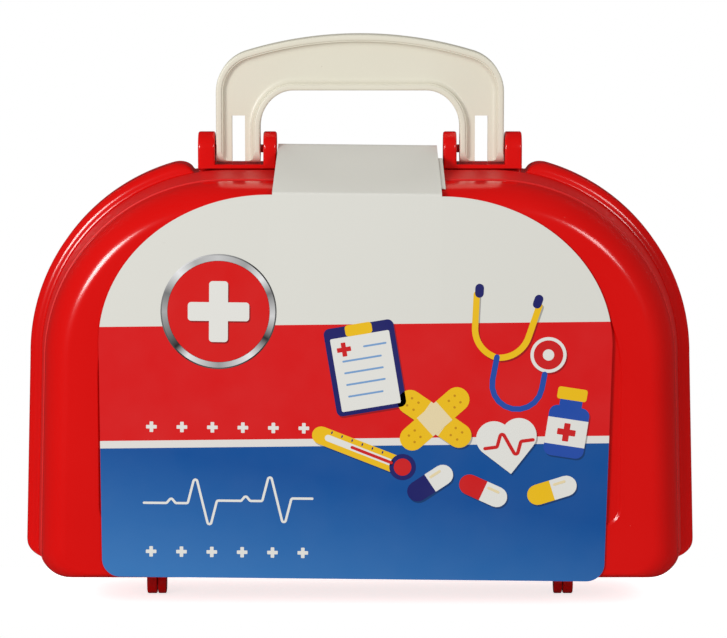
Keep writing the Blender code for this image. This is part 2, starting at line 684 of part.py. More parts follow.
def place_card(piece):
    """Shift and tilt a card piece a little in its own plane, as it sits on the case."""
    pivot = Vector((0.0, 0.0, SHOULDER_Z))
    turn = Matrix.Rotation(math.atan(CARD_TILT_SHARE), 4, "Y")
    piece.data.transform(Matrix.Translation(pivot + Vector((CARD_SHIFT, 0.0, 0.0))) @ turn
                         @ Matrix.Translation(-pivot))


def make_front_card(parts, cutters, hinge, material):
    half_width = CASE_HALF_WIDTH - CARD_SIDE_MARGIN
    shoulder_z = SHOULDER_Z + CARD_SHOULDER_RISE
    shoulder_wide = half_width - STRAP_FOLD_HALF_WIDTH - STRAP_CORNER_STEP
    outline = d_outline(half_width, CARD_SIDE_FLARE_SHARE, shoulder_wide, panel_top_z() - shoulder_z,
                        shoulder_z, BASE_Z + CARD_BASE_MARGIN, CARD_CORNER_RADIUS)
    middle = card_y()
    half = CARD_THICKNESS / 2
    panel = [at_depth(outline, -middle - half), at_depth(outline, -middle + half)]
    piece = solid("front_card", [panel], parts, hinge)
    strap = solid("front_strap", [strip(front_strap_path(), CARD_THICKNESS)], cutters)
    lap_sink = CARD_THICKNESS * LAP_SINK_SHARE
    lap = solid("glued_lap", [strip(lap_path(), CARD_THICKNESS, LAP_SIDE_SHIFT, lap_sink)], cutters)
    for part in (piece, strap, lap):
        place_card(part)
    combine(piece, strap, "UNION")
    combine(piece, lap, "UNION")
    finish_piece(piece, material)


def make_back_card(parts, material):
    piece = solid("back_card", [strip(back_strap_path(), CARD_THICKNESS)], parts)
    place_card(piece)
    finish_piece(piece, material)


def main():
    clear_scene()
    parts = new_collection("toy_doctor_case")
    cutters = new_collection("cutters")
    red = new_material("red_shell_plastic", (0.69, 0.008, 0.006), 0.16, 0.4)
    cream = new_material("cream_handle_plastic", (0.77, 0.74, 0.62), 0.34)
    card = new_material("printed_card", (0.70, 0.70, 0.65), 0.42)
    hinge = joint_empty("hinge_axis", HINGE_Z, parts)
    pivot = joint_empty("handle_axis", EAR_AXIS_Z, parts)
    make_back_shell(parts, cutters, red)
    make_front_shell(parts, cutters, hinge, red)
    make_handle(parts, cutters, pivot, cream)
    make_front_card(parts, cutters, hinge, card)
    make_back_card(parts, card)


main()
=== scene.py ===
# %% [markdown]
# # A toy doctor case, from bare shapes to a finished look
#
# The case is a child's plastic doctor's bag: two glossy red shells shaped like a D, hinged at
# the foot, with a rounded bumper bead round the rim, a cream carry handle that swings between
# four ears, and a printed card sleeve hung over the top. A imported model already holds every
# piece at its real size. This script gives the pieces smooth forms and real finishes.
#
# Everything is in metres, +Z up, and the printed front looks along -Y.

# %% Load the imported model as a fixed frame
import math

import bmesh
import bpy
from mathutils import Matrix, Vector


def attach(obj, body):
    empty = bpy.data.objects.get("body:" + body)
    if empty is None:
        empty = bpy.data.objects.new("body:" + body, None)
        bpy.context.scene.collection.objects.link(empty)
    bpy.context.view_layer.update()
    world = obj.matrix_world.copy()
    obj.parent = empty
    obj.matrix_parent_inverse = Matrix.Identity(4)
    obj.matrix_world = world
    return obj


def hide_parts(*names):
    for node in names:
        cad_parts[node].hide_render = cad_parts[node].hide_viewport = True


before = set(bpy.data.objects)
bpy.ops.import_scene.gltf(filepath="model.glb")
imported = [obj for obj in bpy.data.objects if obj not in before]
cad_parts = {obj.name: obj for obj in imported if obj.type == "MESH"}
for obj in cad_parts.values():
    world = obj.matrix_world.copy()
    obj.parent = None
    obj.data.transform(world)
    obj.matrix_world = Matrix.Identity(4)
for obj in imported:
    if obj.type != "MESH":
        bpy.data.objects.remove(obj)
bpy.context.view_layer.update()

# %% [markdown]
# ## The camera
#
# The photograph was taken from a little above, with a long lens: the top walls show as thin
# slivers, and the left and right sides hardly at all. A camera 1.5 m away that looks 8 degrees
# down gives that view. Its lens follows from how wide a millimetre is in the picture.

# %% Place the camera
CAMERA_DISTANCE = 1.5
CAMERA_DOWN = math.radians(8.0)
CAMERA_TARGET = Vector((0.0015, 0.0, 0.1186))
CAMERA_LENS = 175.1
SENSOR_WIDTH = 36.0

camera_data = bpy.data.cameras.new("camera")
camera_data.lens = CAMERA_LENS
camera_data.sensor_fit = "HORIZONTAL"
camera_data.sensor_width = SENSOR_WIDTH
camera_data.clip_end = 50.0
camera = bpy.data.objects.new("camera", camera_data)
bpy.context.scene.collection.objects.link(camera)
step_back = Vector((0.0, -math.cos(CAMERA_DOWN), math.sin(CAMERA_DOWN))) * CAMERA_DISTANCE
camera.location = CAMERA_TARGET + step_back
camera.rotation_euler = (math.pi / 2 - CAMERA_DOWN, 0.0, 0.0)
bpy.context.scene.camera = camera
print("camera at", [round(x, 4) for x in camera.location])

# %% [markdown]
# ## A pen that draws with operators
#
# Every form here starts as a wire: a D round the case, an arch round the handle, a rounded bar
# in the print. A pen draws it in a bmesh. It extrudes its last point for a straight run and
# spins it for an arc, so the points lie exactly on the curve and their number is a plain choice.
# An arc is spun in a small mesh of its own, because a spin goes over its whole mesh at each step.

# %% The pen
ALONG_Y = (0.0, -1.0, 0.0)
ALONG_X = (1.0, 0.0, 0.0)


class Pen:
    """Draws a wire in a mesh: runs by extruding the last point, arcs by spinning it."""

    def __init__(self, mesh, start):
        self.mesh = mesh
        self.tip = mesh.verts.new(start)
        self.first = self.tip
        self.edges = []

    def run_to(self, place, pieces=1):
        made = bmesh.ops.extrude_vert_indiv(self.mesh, verts=[self.tip])
        start, self.tip = self.tip, made["verts"][0]
        self.tip.co = Vector(place)
        edge = made["edges"][0]
        for i in range(pieces, 1, -1):
            part, start = bmesh.utils.edge_split(edge, start, 1 / i)
            if self.tip in part.verts:
                part, edge = edge, part
            self.edges.append(part)
        self.edges.append(edge)
        return self

    def turn(self, centre, degrees, pieces, axis=ALONG_Y, squash=1.0):
        """Go round a centre. With a squash, the arc is narrower or wider in X than in Z."""
        about = Matrix.Translation(-Vector(centre))
        aside = bmesh.new()
        aside.verts.new(self.tip.co)
        bmesh.ops.scale(aside, vec=(1 / squash, 1, 1), space=about, verts=aside.verts)
        bmesh.ops.spin(aside, geom=aside.verts[:], cent=centre, axis=axis, angle=math.radians(degrees),
                       steps=pieces)
        bmesh.ops.scale(aside, vec=(squash, 1, 1), space=about, verts=aside.verts)
        places = [point.co.copy() for point in aside.verts]
        aside.free()
        point = self.tip
        self.run_to(places[-1], pieces)
        for edge, place in zip(self.edges[-pieces:], places[1:]):
            point = edge.other_vert(point)
            point.co = place
        return self

    def close(self):
        self.edges.append(self.mesh.edges.new((self.tip, self.first)))
        return self.edges


# %% Helpers for wires, faces and finished objects
SEW = 0.000004
SMOOTH_ANGLE = math.radians(35)


def points_in(made):
    return [item for item in made if isinstance(item, bmesh.types.BMVert)]


def edges_in(made):
    return [item for item in made if isinstance(item, bmesh.types.BMEdge)]


def all_of(mesh):
    return mesh.verts[:] + mesh.edges[:] + mesh.faces[:]


def skin(mesh, rings):
    """Bridge each wire to the next one."""
    for near, far in zip(rings, rings[1:]):
        bmesh.ops.bridge_loops(mesh, edges=near + far)


def fill(mesh, edges):
    """One flat face inside a closed wire."""
    return bmesh.ops.edgeloop_fill(mesh, edges=edges)["faces"]


def thicken(mesh, faces, push):
    """Extrude faces along a vector; the ends stay closed."""
    made = bmesh.ops.extrude_face_region(mesh, geom=faces, use_keep_orig=True)["geom"]
    bmesh.ops.translate(mesh, vec=push, verts=points_in(made))


def round_off(mesh, parts, radius, segments, affect="EDGES"):
    bmesh.ops.bevel(mesh, geom=parts, offset=radius, offset_type="OFFSET", segments=segments, profile=0.5,
                    affect=affect, material=-1, clamp_overlap=True)


def mirror_whole(mesh):
    """Add the left half of a right half that is open at X = 0, and sew the two together."""
    bmesh.ops.mirror(mesh, geom=all_of(mesh), axis="X", merge_dist=SEW)
    bmesh.ops.remove_doubles(mesh, verts=mesh.verts, dist=SEW)
    bmesh.ops.recalc_face_normals(mesh, faces=mesh.faces)


def make_object(name, mesh, sharp=SMOOTH_ANGLE):
    """An object at the origin from a bmesh, shaded smooth but for its sharp edges."""
    data = bpy.data.meshes.new(name)
    mesh.to_mesh(data)
    mesh.free()
    data.shade_smooth()
    data.set_sharp_from_angle(angle=sharp)
    item = bpy.data.objects.new(name, data)
    bpy.context.scene.collection.objects.link(item)
    return item


def settle(piece):
    """Make what a modifier does part of the mesh."""
    seen = piece.evaluated_get(bpy.context.evaluated_depsgraph_get())
    data = bpy.data.meshes.new_from_object(seen)
    piece.modifiers.clear()
    data.set_sharp_from_angle(angle=SMOOTH_ANGLE)
    piece.data = data


def work_with(piece, tool, operation):
    """Join a tool to a piece, or cut it away, for good."""
    step = piece.modifiers.new("step", "BOOLEAN")
    step.operation = operation
    step.solver = "EXACT"
    step.object = tool
    settle(piece)
    bpy.data.objects.remove(tool, do_unlink=True)


print("points closer than", SEW * 1000, "mm are sewn together")

# %% [markdown]
# ## The shape of a shell
#
# From the front, each shell is a D: a flat base, sides that flare a little towards the foot, and
# two big round shoulders. A thin moulding like this gets its strength from its form, so
# the D is repeated at several depths: the bumper bead at the rim, a drafted wall, a small
# step, and a crown that rounds over into the face. Each D is half a wire, drawn by the pen
# and drawn in by an inset. Bridging the wires gives the skin, and a mirror gives the left half.

# %% Sizes of the case
HINGE_RADIUS = 0.0056
KNUCKLE_BASE_GAP = 0.0012
BASE_Z = 2 * HINGE_RADIUS + KNUCKLE_BASE_GAP
HALF_WIDTH = 0.1395
SHOULDER_RADIUS = 0.0841
SHOULDER_Z = 0.1043
SIDE_FLARE = 0.0305
BASE_CORNER = 0.0105
WALL = 0.0022
HALF_DEPTH = 0.0435
PARTING_GAP = 0.00015
STEP_DEPTH = 0.026
STEP_LEDGE = 0.0006
WALL_DRAFT = 0.0021
BASE_DRAFT = 0.0012
CROWN_INSET = 0.012
CROWN_BASE_INSET = 0.004
BEAD_PROUD = 0.0054
BEAD_DEPTH = 0.009
BEAD_ROUND = 0.004
BEAD_END = 0.008
BEAD_TOP_X = 0.071
BEAD_BASE_GAP = 0.0053
BEAD_FOOT_Z = BASE_Z + BEAD_BASE_GAP
FRONT, BACK = -1, 1

bead_top_angle = math.acos((BEAD_TOP_X - HALF_WIDTH + SHOULDER_RADIUS) / SHOULDER_RADIUS)
print("the bead ends", round(math.degrees(bead_top_angle), 1), "degrees round the shoulder")


# %% Half a D, as a wire
# The arc has closer points where the bead runs out, and one point on the side lies at its foot.
DENSE_FROM = 69.0
DENSE_TO = 80.4
BEAD_END_SHARE = 0.06


def half_d(mesh, y, half_width, flare, wide, high, shoulder_z, base_z, corner):
    """The right half of a D, from the middle of its base to the middle of its top."""
    corner_z = base_z + corner
    corner_x = half_width + flare * (shoulder_z - corner_z) - corner
    centre = (half_width - wide, y, shoulder_z)
    pen = Pen(mesh, (0.0, y, base_z)).run_to((corner_x, y, base_z), 4)
    pen.turn((corner_x, y, corner_z), 58.0, 8).turn((corner_x, y, corner_z), 32.0, 10)
    near_foot = Vector((corner_x + corner, y, corner_z)).lerp(Vector((half_width, y, shoulder_z)),
                                                           BEAD_END_SHARE)
    pen.run_to(near_foot, 7).run_to((half_width, y, shoulder_z), 18)
    squash = wide / high
    pen.turn(centre, DENSE_FROM, 46, squash=squash)
    pen.turn(centre, DENSE_TO - DENSE_FROM, 30, squash=squash)
    pen.turn(centre, 90.0 - DENSE_TO, 6, squash=squash)
    return pen.run_to((0.0, y, shoulder_z + high), 6).edges


def wire_points(edges):
    return {point for edge in edges for point in edge.verts}


print("points are closest from", DENSE_FROM, "to", DENSE_TO, "degrees up each shoulder")


# %% [markdown]
# ### The bumper bead
#
# The bead is a proud, rounded strip that runs round the sides and shoulders only: beside the
# ears and near the base it sinks back into the wall. It could be a separate sweep that is joined
# on, but then the wall would show a hard seam. Here each wire's points are pushed outwards
# where the bead is, by a share that fades at its two ends as a quarter of an ellipse.

# %% Push the bead out of a wire
def bead_share(place, margin):
    """How much of the bead stands at a place: 1 along it, fading to 0 at its two ends."""
    x = abs(place.x) - (HALF_WIDTH - SHOULDER_RADIUS)
    to_foot = place.z - BEAD_FOOT_Z - margin
    if place.z < SHOULDER_Z:
        to_end = to_foot
    elif x <= 0:
        return 0.0
    else:
        to_end = SHOULDER_RADIUS * (bead_top_angle - math.atan2(place.z - SHOULDER_Z, x)) - margin
    along = min(max(to_end / BEAD_END, 0.0), 1.0)
    return math.sqrt(1 - (1 - along) ** 2)


def push_bead(edges, reach, margin):
    for point in wire_points(edges):
        share = bead_share(point.co, margin)
        if share > 0:
            x = abs(point.co.x) - (HALF_WIDTH - SHOULDER_RADIUS)
            on_arc = point.co.z > SHOULDER_Z
            outward = Vector((x, 0.0, point.co.z - SHOULDER_Z)) if on_arc else Vector(ALONG_X)
            point.co += outward.normalized() * reach * share


def case_wire(mesh, facing, depth, inset, lift=0.0, bead=None, corner=BASE_CORNER, margin=0.0):
    """Half a D of the case at a depth. The bead's own inset, where given, is less than the wall's."""
    edges = half_d(mesh, facing * depth, HALF_WIDTH - inset, SIDE_FLARE, SHOULDER_RADIUS - inset,
                   SHOULDER_RADIUS - inset, SHOULDER_Z, BASE_Z + lift, corner)
    if bead is not None:
        push_bead(edges, inset - bead, margin)
    return edges


def quarter(pieces, first=0):
    """Sine and 1 - cosine of equal angles in a quarter turn, for a rounded edge."""
    return [(math.sin(math.pi / 2 * i / pieces), 1 - math.cos(math.pi / 2 * i / pieces))
            for i in range(first, pieces + 1)]


print("the bead stands", BEAD_PROUD * 1000, "mm proud of the wall")

# %% The outside of a shell
RIM_ROUND = 0.00025
BEAD_FILLET = 0.0009
STEP_ROUND = 0.0003


def outside_wires(mesh, facing):
    wires = []

    def add(depth, inset, lift=0.0, bead=None):
        wires.append(case_wire(mesh, facing, depth, inset, lift, bead))

    for out, back in quarter(3):
        trim = RIM_ROUND * (1 - out)
        add(PARTING_GAP + RIM_ROUND * back, BEAD_PROUD + trim, trim, trim)
    flat_end = BEAD_DEPTH - BEAD_ROUND
    add((PARTING_GAP + flat_end) / 2, BEAD_PROUD, bead=0.0)
    for out, back in quarter(9):
        add(flat_end + BEAD_ROUND * out, BEAD_PROUD, bead=BEAD_ROUND * back)
    ledge = BEAD_PROUD - BEAD_FILLET
    for out, back in quarter(5, 1):
        add(BEAD_DEPTH + BEAD_FILLET * (0.08 + back), BEAD_PROUD, bead=ledge + BEAD_FILLET * out)
    start = BEAD_DEPTH + 1.2 * BEAD_FILLET
    end = STEP_DEPTH - STEP_ROUND
    for i in range(1, 9):
        share = i / 8
        add(start + (end - start) * share, BEAD_PROUD + WALL_DRAFT * share, BASE_DRAFT * share)
    top = BEAD_PROUD + WALL_DRAFT
    for out, back in quarter(3, 1):
        add(end + STEP_ROUND * out, top + STEP_ROUND * back, BASE_DRAFT + STEP_ROUND / 2 * back)
    for out, back in quarter(3, 1):
        add(STEP_DEPTH + STEP_ROUND * (0.05 + back), top + STEP_LEDGE - STEP_ROUND * (1 - out),
            BASE_DRAFT + STEP_LEDGE / 2 - STEP_ROUND / 2 * (1 - out))
    first = STEP_DEPTH + 1.2 * STEP_ROUND
    for out, back in quarter(22, 1):
        add(first + (HALF_DEPTH - first) * out, top + STEP_LEDGE + CROWN_INSET * back,
            BASE_DRAFT + STEP_LEDGE / 2 + CROWN_BASE_INSET * back)
    return wires


# %% The inside of a shell, a wall's thickness in
def inside_wires(mesh, facing):
    wires = []
    corner = BASE_CORNER - WALL
    inset = BEAD_PROUD + WALL

    def add(depth, inset, lift, bead=None):
        wires.append(case_wire(mesh, facing, depth, inset, lift, bead, corner, WALL))

    flat_end = BEAD_DEPTH - BEAD_ROUND
    add(PARTING_GAP, inset, WALL, WALL)
    for out, back in quarter(5):
        add(flat_end + (BEAD_ROUND - WALL) * out, inset, WALL, WALL + (BEAD_ROUND - WALL) * back)
    step = BEAD_PROUD + WALL_DRAFT + STEP_LEDGE + WALL
    lift = BASE_DRAFT + STEP_LEDGE / 2 + WALL
    add(BEAD_DEPTH, inset, WALL)
    for out, back in quarter(12):
        add(STEP_DEPTH + (HALF_DEPTH - WALL - STEP_DEPTH) * out, step + (CROWN_INSET - WALL) * back,
            lift + (CROWN_BASE_INSET - WALL) * back)
    add(HALF_DEPTH - WALL, step + CROWN_INSET, lift + CROWN_BASE_INSET)
    return wires


# %% [markdown]
# ### Closing a face
#
# A large flat face next to a rounded edge shades badly when its corners share the edge's
# normals. A narrow flat border, one more wire just inside the edge, keeps the shading level. On
# the front shell, the face also has a shallow place for a label, with a softly sloped edge.

# %% Close the two faces of a half shell
LABEL_MARGIN = 0.0312
LABEL_HALF_WIDTH = HALF_WIDTH - LABEL_MARGIN
LABEL_SHOULDER = 0.062
LABEL_DROP = 0.0043
LABEL_SHOULDER_Z = SHOULDER_Z - LABEL_DROP
LABEL_BASE_MARGIN = 0.0252
LABEL_BASE_Z = BASE_Z + LABEL_BASE_MARGIN
LABEL_CORNER = 0.008
LABEL_DEPTH = 0.0008
LABEL_SLOPE = 0.0006
FLAT_BORDER = 0.0009


def label_wire(mesh, depth, inset):
    radius = LABEL_SHOULDER - inset
    return half_d(mesh, FRONT * depth, LABEL_HALF_WIDTH - inset, 0.0, radius, radius, LABEL_SHOULDER_Z,
                  LABEL_BASE_Z + inset, LABEL_CORNER)


def label_place(mesh):
    """Wires from the face down to the label's floor, with both of its edges eased."""
    slope = [(-0.6, 0.0), (-0.2, 0.03), (0.12, 0.14), (0.88, 0.86), (1.2, 0.97), (1.7, 1.0), (3.0, 1.0)]
    return [label_wire(mesh, HALF_DEPTH - LABEL_DEPTH * deep, LABEL_SLOPE * across) for across, deep in slope]


def close_half(mesh, wire):
    """A flat face between a half wire and the plane X = 0."""
    ends = [point for point in wire_points(wire) if abs(point.co.x) < SEW]
    across = mesh.edges.new(ends)
    return fill(mesh, wire + [across])


def shell_mesh(facing):
    mesh = bmesh.new()
    outside = outside_wires(mesh, facing)
    border = CROWN_INSET + BEAD_PROUD + WALL_DRAFT + STEP_LEDGE + FLAT_BORDER
    lift = BASE_DRAFT + STEP_LEDGE / 2 + CROWN_BASE_INSET + FLAT_BORDER
    outside.append(case_wire(mesh, facing, HALF_DEPTH, border, lift))
    if facing == FRONT:
        outside += label_place(mesh)
    inside = inside_wires(mesh, facing)
    skin(mesh, outside[::-1] + inside)
    close_half(mesh, outside[-1])
    close_half(mesh, inside[-1])
    mirror_whole(mesh)
    print("shell skin:", len(outside), "wires outside and", len(inside), "inside")
    return mesh


# %% [markdown]
# ## Hinge knuckles
#
# The two shells turn on snap hinges below the base, one pair at each side. Each knuckle is a
# round plate with a web up into its shell. A plate is one profile, extruded along X, and a bevel
# rounds the edges of its two faces, as the mould's cavity does.

# %% Plates along X
KNUCKLE_ROUND = 0.0009
KNUCKLE_SETBACK = 0.0006
SINK = 0.0006
FRONT_KNUCKLE_X = 0.0867
FRONT_KNUCKLE_WIDTH = 0.0043
BACK_KNUCKLE_WIDTH = 0.0036
SEAT_GAP = 0.0003
HINGE_PIN = 0.0018
PIN_CLEARANCE = 0.0003
ROUND_PIECES = 40


def plate(mesh, wire, width, rounding):
    """A plate from a closed wire in a plane of constant X, with its face edges rounded."""
    start = wire[0].verts[0].co.x
    thicken(mesh, fill(mesh, wire), (width, 0.0, 0.0))
    ends = (start, start + width)
    rims = [edge for edge in mesh.edges
            if any(all(abs(point.co.x - end) < SEW for point in edge.verts) for end in ends)]
    round_off(mesh, rims, rounding, 4)


def knuckle(facing, start_x, width):
    """One knuckle on the right: a disc about the hinge with a web up into its own shell."""
    mesh = bmesh.new()
    own = -facing
    top = BASE_Z + SINK
    lean = math.degrees(math.asin(KNUCKLE_SETBACK / HINGE_RADIUS))
    pen = Pen(mesh, (start_x, -own * HINGE_RADIUS, top))
    pen.run_to((start_x, -own * HINGE_RADIUS, HINGE_RADIUS))
    pen.turn((start_x, 0.0, HINGE_RADIUS), -own * (270.0 - lean), ROUND_PIECES, axis=(-1.0, 0.0, 0.0))
    pen.run_to((start_x, pen.tip.co.y, top))
    plate(mesh, pen.close(), width, KNUCKLE_ROUND)
    return mesh


def pin_mesh(start_x, length, radius, z):
    """A round pin along X."""
    mesh = bmesh.new()
    place = Matrix.Translation((start_x + length / 2, 0.0, z)) @ Matrix.Rotation(math.pi / 2, 4, "Y")
    bmesh.ops.create_cone(mesh, cap_ends=True, segments=ROUND_PIECES, radius1=radius, radius2=radius,
                          depth=length, matrix=place)
    return mesh


def both_sides(meshes, name):
    """One object from meshes on the right, and their mirror images on the left."""
    whole = bmesh.new()
    for mesh in meshes:
        bmesh.ops.mirror(mesh, geom=all_of(mesh), axis="X", merge_dist=0.0)
        bmesh.ops.recalc_face_normals(mesh, faces=mesh.faces)
        data = bpy.data.meshes.new("side")
        mesh.to_mesh(data)
        mesh.free()
        whole.from_mesh(data)
        bpy.data.meshes.remove(data)
    return make_object(name, whole)


# %% The two knuckles of the front shell, with a bore for the pin
bore = pin_mesh(FRONT_KNUCKLE_X - SINK, FRONT_KNUCKLE_WIDTH + 2 * SINK, HINGE_PIN + PIN_CLEARANCE,
                HINGE_RADIUS)
front_knuckles = both_sides([knuckle(FRONT, FRONT_KNUCKLE_X, FRONT_KNUCKLE_WIDTH)], "front_knuckles")
work_with(front_knuckles, both_sides([bore], "bores"), "DIFFERENCE")
print("front knuckles:", len(front_knuckles.data.polygons), "faces")

# %% [markdown]
# ## Ears and saddles
#
# The handle turns between two pairs of ears that stand on flat saddles over the rim. All of it
# belongs to the back shell, so that the case can open without the handle. Ears and saddles are
# plates too. Stub pins between the ears are what the handle's prongs snap over.

# %% Ears, saddles and pins
RIM_TOP_Z = SHOULDER_Z + SHOULDER_RADIUS - BEAD_PROUD
SADDLE_GAP = 0.0004
SADDLE_THICKNESS = 0.0016
SADDLE_TOP_Z = RIM_TOP_Z + SADDLE_GAP + SADDLE_THICKNESS
SADDLE_BACK_Y = 0.009
SADDLE_ROUND = 0.0004
EAR_RADIUS = 0.0072
EAR_ROUND = 0.0009
EAR_PIN = 0.0017
EAR_PIN_LENGTH = 0.0044
INNER_EAR_X, INNER_EAR_WIDTH = 0.035, 0.0056
OUTER_EAR_X, OUTER_EAR_WIDTH = 0.0608, 0.0072
HANDLE_THICKNESS = 0.0116
FOOT_CLEARANCE = 0.0004
EAR_Z = SADDLE_TOP_Z + FOOT_CLEARANCE + HANDLE_THICKNESS / 2


def ear(start_x, width):
    mesh = bmesh.new()
    foot = SADDLE_TOP_Z - SINK
    pen = Pen(mesh, (start_x, -EAR_RADIUS, foot)).run_to((start_x, -EAR_RADIUS, EAR_Z))
    pen.turn((start_x, 0.0, EAR_Z), 180.0, ROUND_PIECES, axis=(-1.0, 0.0, 0.0))
    pen.run_to((start_x, EAR_RADIUS, foot))
    plate(mesh, pen.close(), width, EAR_ROUND)
    return mesh


def saddle():
    mesh = bmesh.new()
    low = RIM_TOP_Z + SADDLE_GAP
    seat = RIM_TOP_Z - WALL / 2
    x = INNER_EAR_X
    pen = Pen(mesh, (x, -EAR_RADIUS, low)).run_to((x, PARTING_GAP, low)).run_to((x, PARTING_GAP, seat))
    pen.run_to((x, SADDLE_BACK_Y, seat)).run_to((x, SADDLE_BACK_Y, SADDLE_TOP_Z))
    pen.run_to((x, -EAR_RADIUS, SADDLE_TOP_Z))
    plate(mesh, pen.close(), OUTER_EAR_X + OUTER_EAR_WIDTH - x, SADDLE_ROUND)
    return mesh


def joined(pieces):
    """Weld small pieces into one tool, which then meets the large mesh only once."""
    for piece in pieces[1:]:
        work_with(pieces[0], piece, "UNION")
    return pieces[0]


inner_pin = pin_mesh(INNER_EAR_X + INNER_EAR_WIDTH - SINK, EAR_PIN_LENGTH + SINK, EAR_PIN, EAR_Z)
outer_pin = pin_mesh(OUTER_EAR_X - EAR_PIN_LENGTH, EAR_PIN_LENGTH + SINK, EAR_PIN, EAR_Z)
ears = [ear(INNER_EAR_X, INNER_EAR_WIDTH), ear(OUTER_EAR_X, OUTER_EAR_WIDTH)]
back_knuckle_x = FRONT_KNUCKLE_X - SEAT_GAP - BACK_KNUCKLE_WIDTH
pin_start = back_knuckle_x + BACK_KNUCKLE_WIDTH - SINK
pin_length = FRONT_KNUCKLE_X + FRONT_KNUCKLE_WIDTH - KNUCKLE_ROUND - pin_start
back_fittings = joined([
    both_sides([saddle()], "saddles"), both_sides(ears, "ears"),
    both_sides([inner_pin, outer_pin], "ear_pins"),
    both_sides([knuckle(BACK, back_knuckle_x, BACK_KNUCKLE_WIDTH)], "back_knuckles"),
    both_sides([pin_mesh(pin_start, pin_length, HINGE_PIN, HINGE_RADIUS)], "hinge_pins")])
back_shell = make_object("back_case_shell", shell_mesh(BACK))
work_with(back_shell, back_fittings, "UNION")
print("back shell:", len(back_shell.data.polygons), "faces")

# %% [markdown]
# ## The locating lip and the closure tongue
#
# Inside the front shell, a thin lip runs along the bead and slides into the back shell, and a
# tongue under the top wall snaps behind a low ridge. They show only when the case is open.
# The lip's section is spun round the shoulder and then pulled straight down the side.

# %% Spin the lip, extrude the tongue
LIP_REACH = 0.003
LIP_ROOT = 0.005
LIP_THICKNESS = 0.0016
LIP_MARGIN = 0.01
TONGUE_HALF_WIDTH = 0.015
TONGUE_REACH = 0.008
TONGUE_THICKNESS = 0.0016
TONGUE_CLEARANCE = 0.0005


def lip():
    """The lip's straight side and its round shoulder, on the right."""
    free = WALL + SEAT_GAP
    inner = free + LIP_THICKNESS
    centre_x = HALF_WIDTH - SHOULDER_RADIUS

    def corner(inset, depth):
        return (centre_x + SHOULDER_RADIUS - inset, FRONT * depth, SHOULDER_Z)

    section = [(WALL - SINK, PARTING_GAP), (free, PARTING_GAP), (free, -LIP_REACH), (inner, -LIP_REACH),
               (inner + SEAT_GAP, LIP_ROOT)]
    parts = []
    for side in range(2):
        mesh = bmesh.new()
        pen = Pen(mesh, corner(WALL - SINK, LIP_ROOT))
        for inset, depth in section:
            pen.run_to(corner(inset, depth))
        faces = fill(mesh, pen.close())
        if side:
            drop = SHOULDER_Z - BEAD_FOOT_Z - LIP_MARGIN
            thicken(mesh, faces, (SIDE_FLARE * drop, 0.0, -drop))
        else:
            sweep = bead_top_angle - LIP_MARGIN / SHOULDER_RADIUS
            bmesh.ops.spin(mesh, geom=wire_parts(faces), cent=(centre_x, 0.0, SHOULDER_Z), axis=ALONG_Y,
                           angle=sweep, steps=40)
        parts.append(mesh)
    return parts


def wire_parts(faces):
    """A face with its edges and points, as the spin operator takes them."""
    parts = set(faces)
    for face in faces:
        parts.update(face.edges)
        parts.update(face.verts)
    return list(parts)


def tongue():
    mesh = bmesh.new()
    ceiling = RIM_TOP_Z - WALL
    top = ceiling - TONGUE_CLEARANCE
    low = top - TONGUE_THICKNESS
    x = -TONGUE_HALF_WIDTH
    pen = Pen(mesh, (x, -TONGUE_REACH, low)).run_to((x, -TONGUE_REACH, ceiling + SINK))
    pen.run_to((x, -PARTING_GAP, ceiling + SINK)).run_to((x, -PARTING_GAP, top))
    pen.run_to((x, TONGUE_REACH, top - TONGUE_THICKNESS / 2)).run_to((x, TONGUE_REACH, low))
    thicken(mesh, fill(mesh, pen.close()), (2 * TONGUE_HALF_WIDTH, 0.0, 0.0))
    bmesh.ops.recalc_face_normals(mesh, faces=mesh.faces)
    return make_object("tongue", mesh)


lip_parts = [both_sides([part], "lip") for part in lip()]
front_shell = make_object("front_case_shell", shell_mesh(FRONT))
work_with(front_shell, joined([front_knuckles, *lip_parts, tongue()]), "UNION")
print("front shell:", len(front_shell.data.polygons), "faces")

# %% [markdown]
# ## The handle
#
# The handle is a springy arch with an H-shaped section: a thin web between two rounded rims.
# Moulders core it out like this so that the thick part doesn't shrink. The section could be swept
# along a curve, but the web widens at the corners, so wires at growing insets are bridged
# instead: over the rim, down the pocket's drafted wall and through a fillet to the web.

# %% Sizes of the handle
HANDLE_HALF_WIDTH = 0.0604
HANDLE_RISE, GRIP_RISE, SLOT_RISE = 0.0482, 0.0248, 0.0141
HANDLE_TOP_Z = EAR_Z + HANDLE_RISE
CROWN_RADIUS = 0.164
HANDLE_SHOULDER = 0.0178
GRIP_HALF_WIDTH = 0.0419
GRIP_TOP_Z = EAR_Z + GRIP_RISE
GRIP_WIDE, GRIP_HIGH = 0.014, 0.016
RIM_WIDTH = 0.0025
RIM_DRAFT = 0.0008
WEB = 0.006
EDGE_ROUND = 0.0009
RIM_INNER_ROUND = 0.0006
WEB_FILLET = 0.0022
SLOT_X, SLOT_WIDTH = 0.0483, 0.0055
SLOT_TOP_Z = EAR_Z + SLOT_RISE
print("the bar of the handle is", round((HANDLE_RISE - GRIP_RISE) * 1000, 1), "mm high")


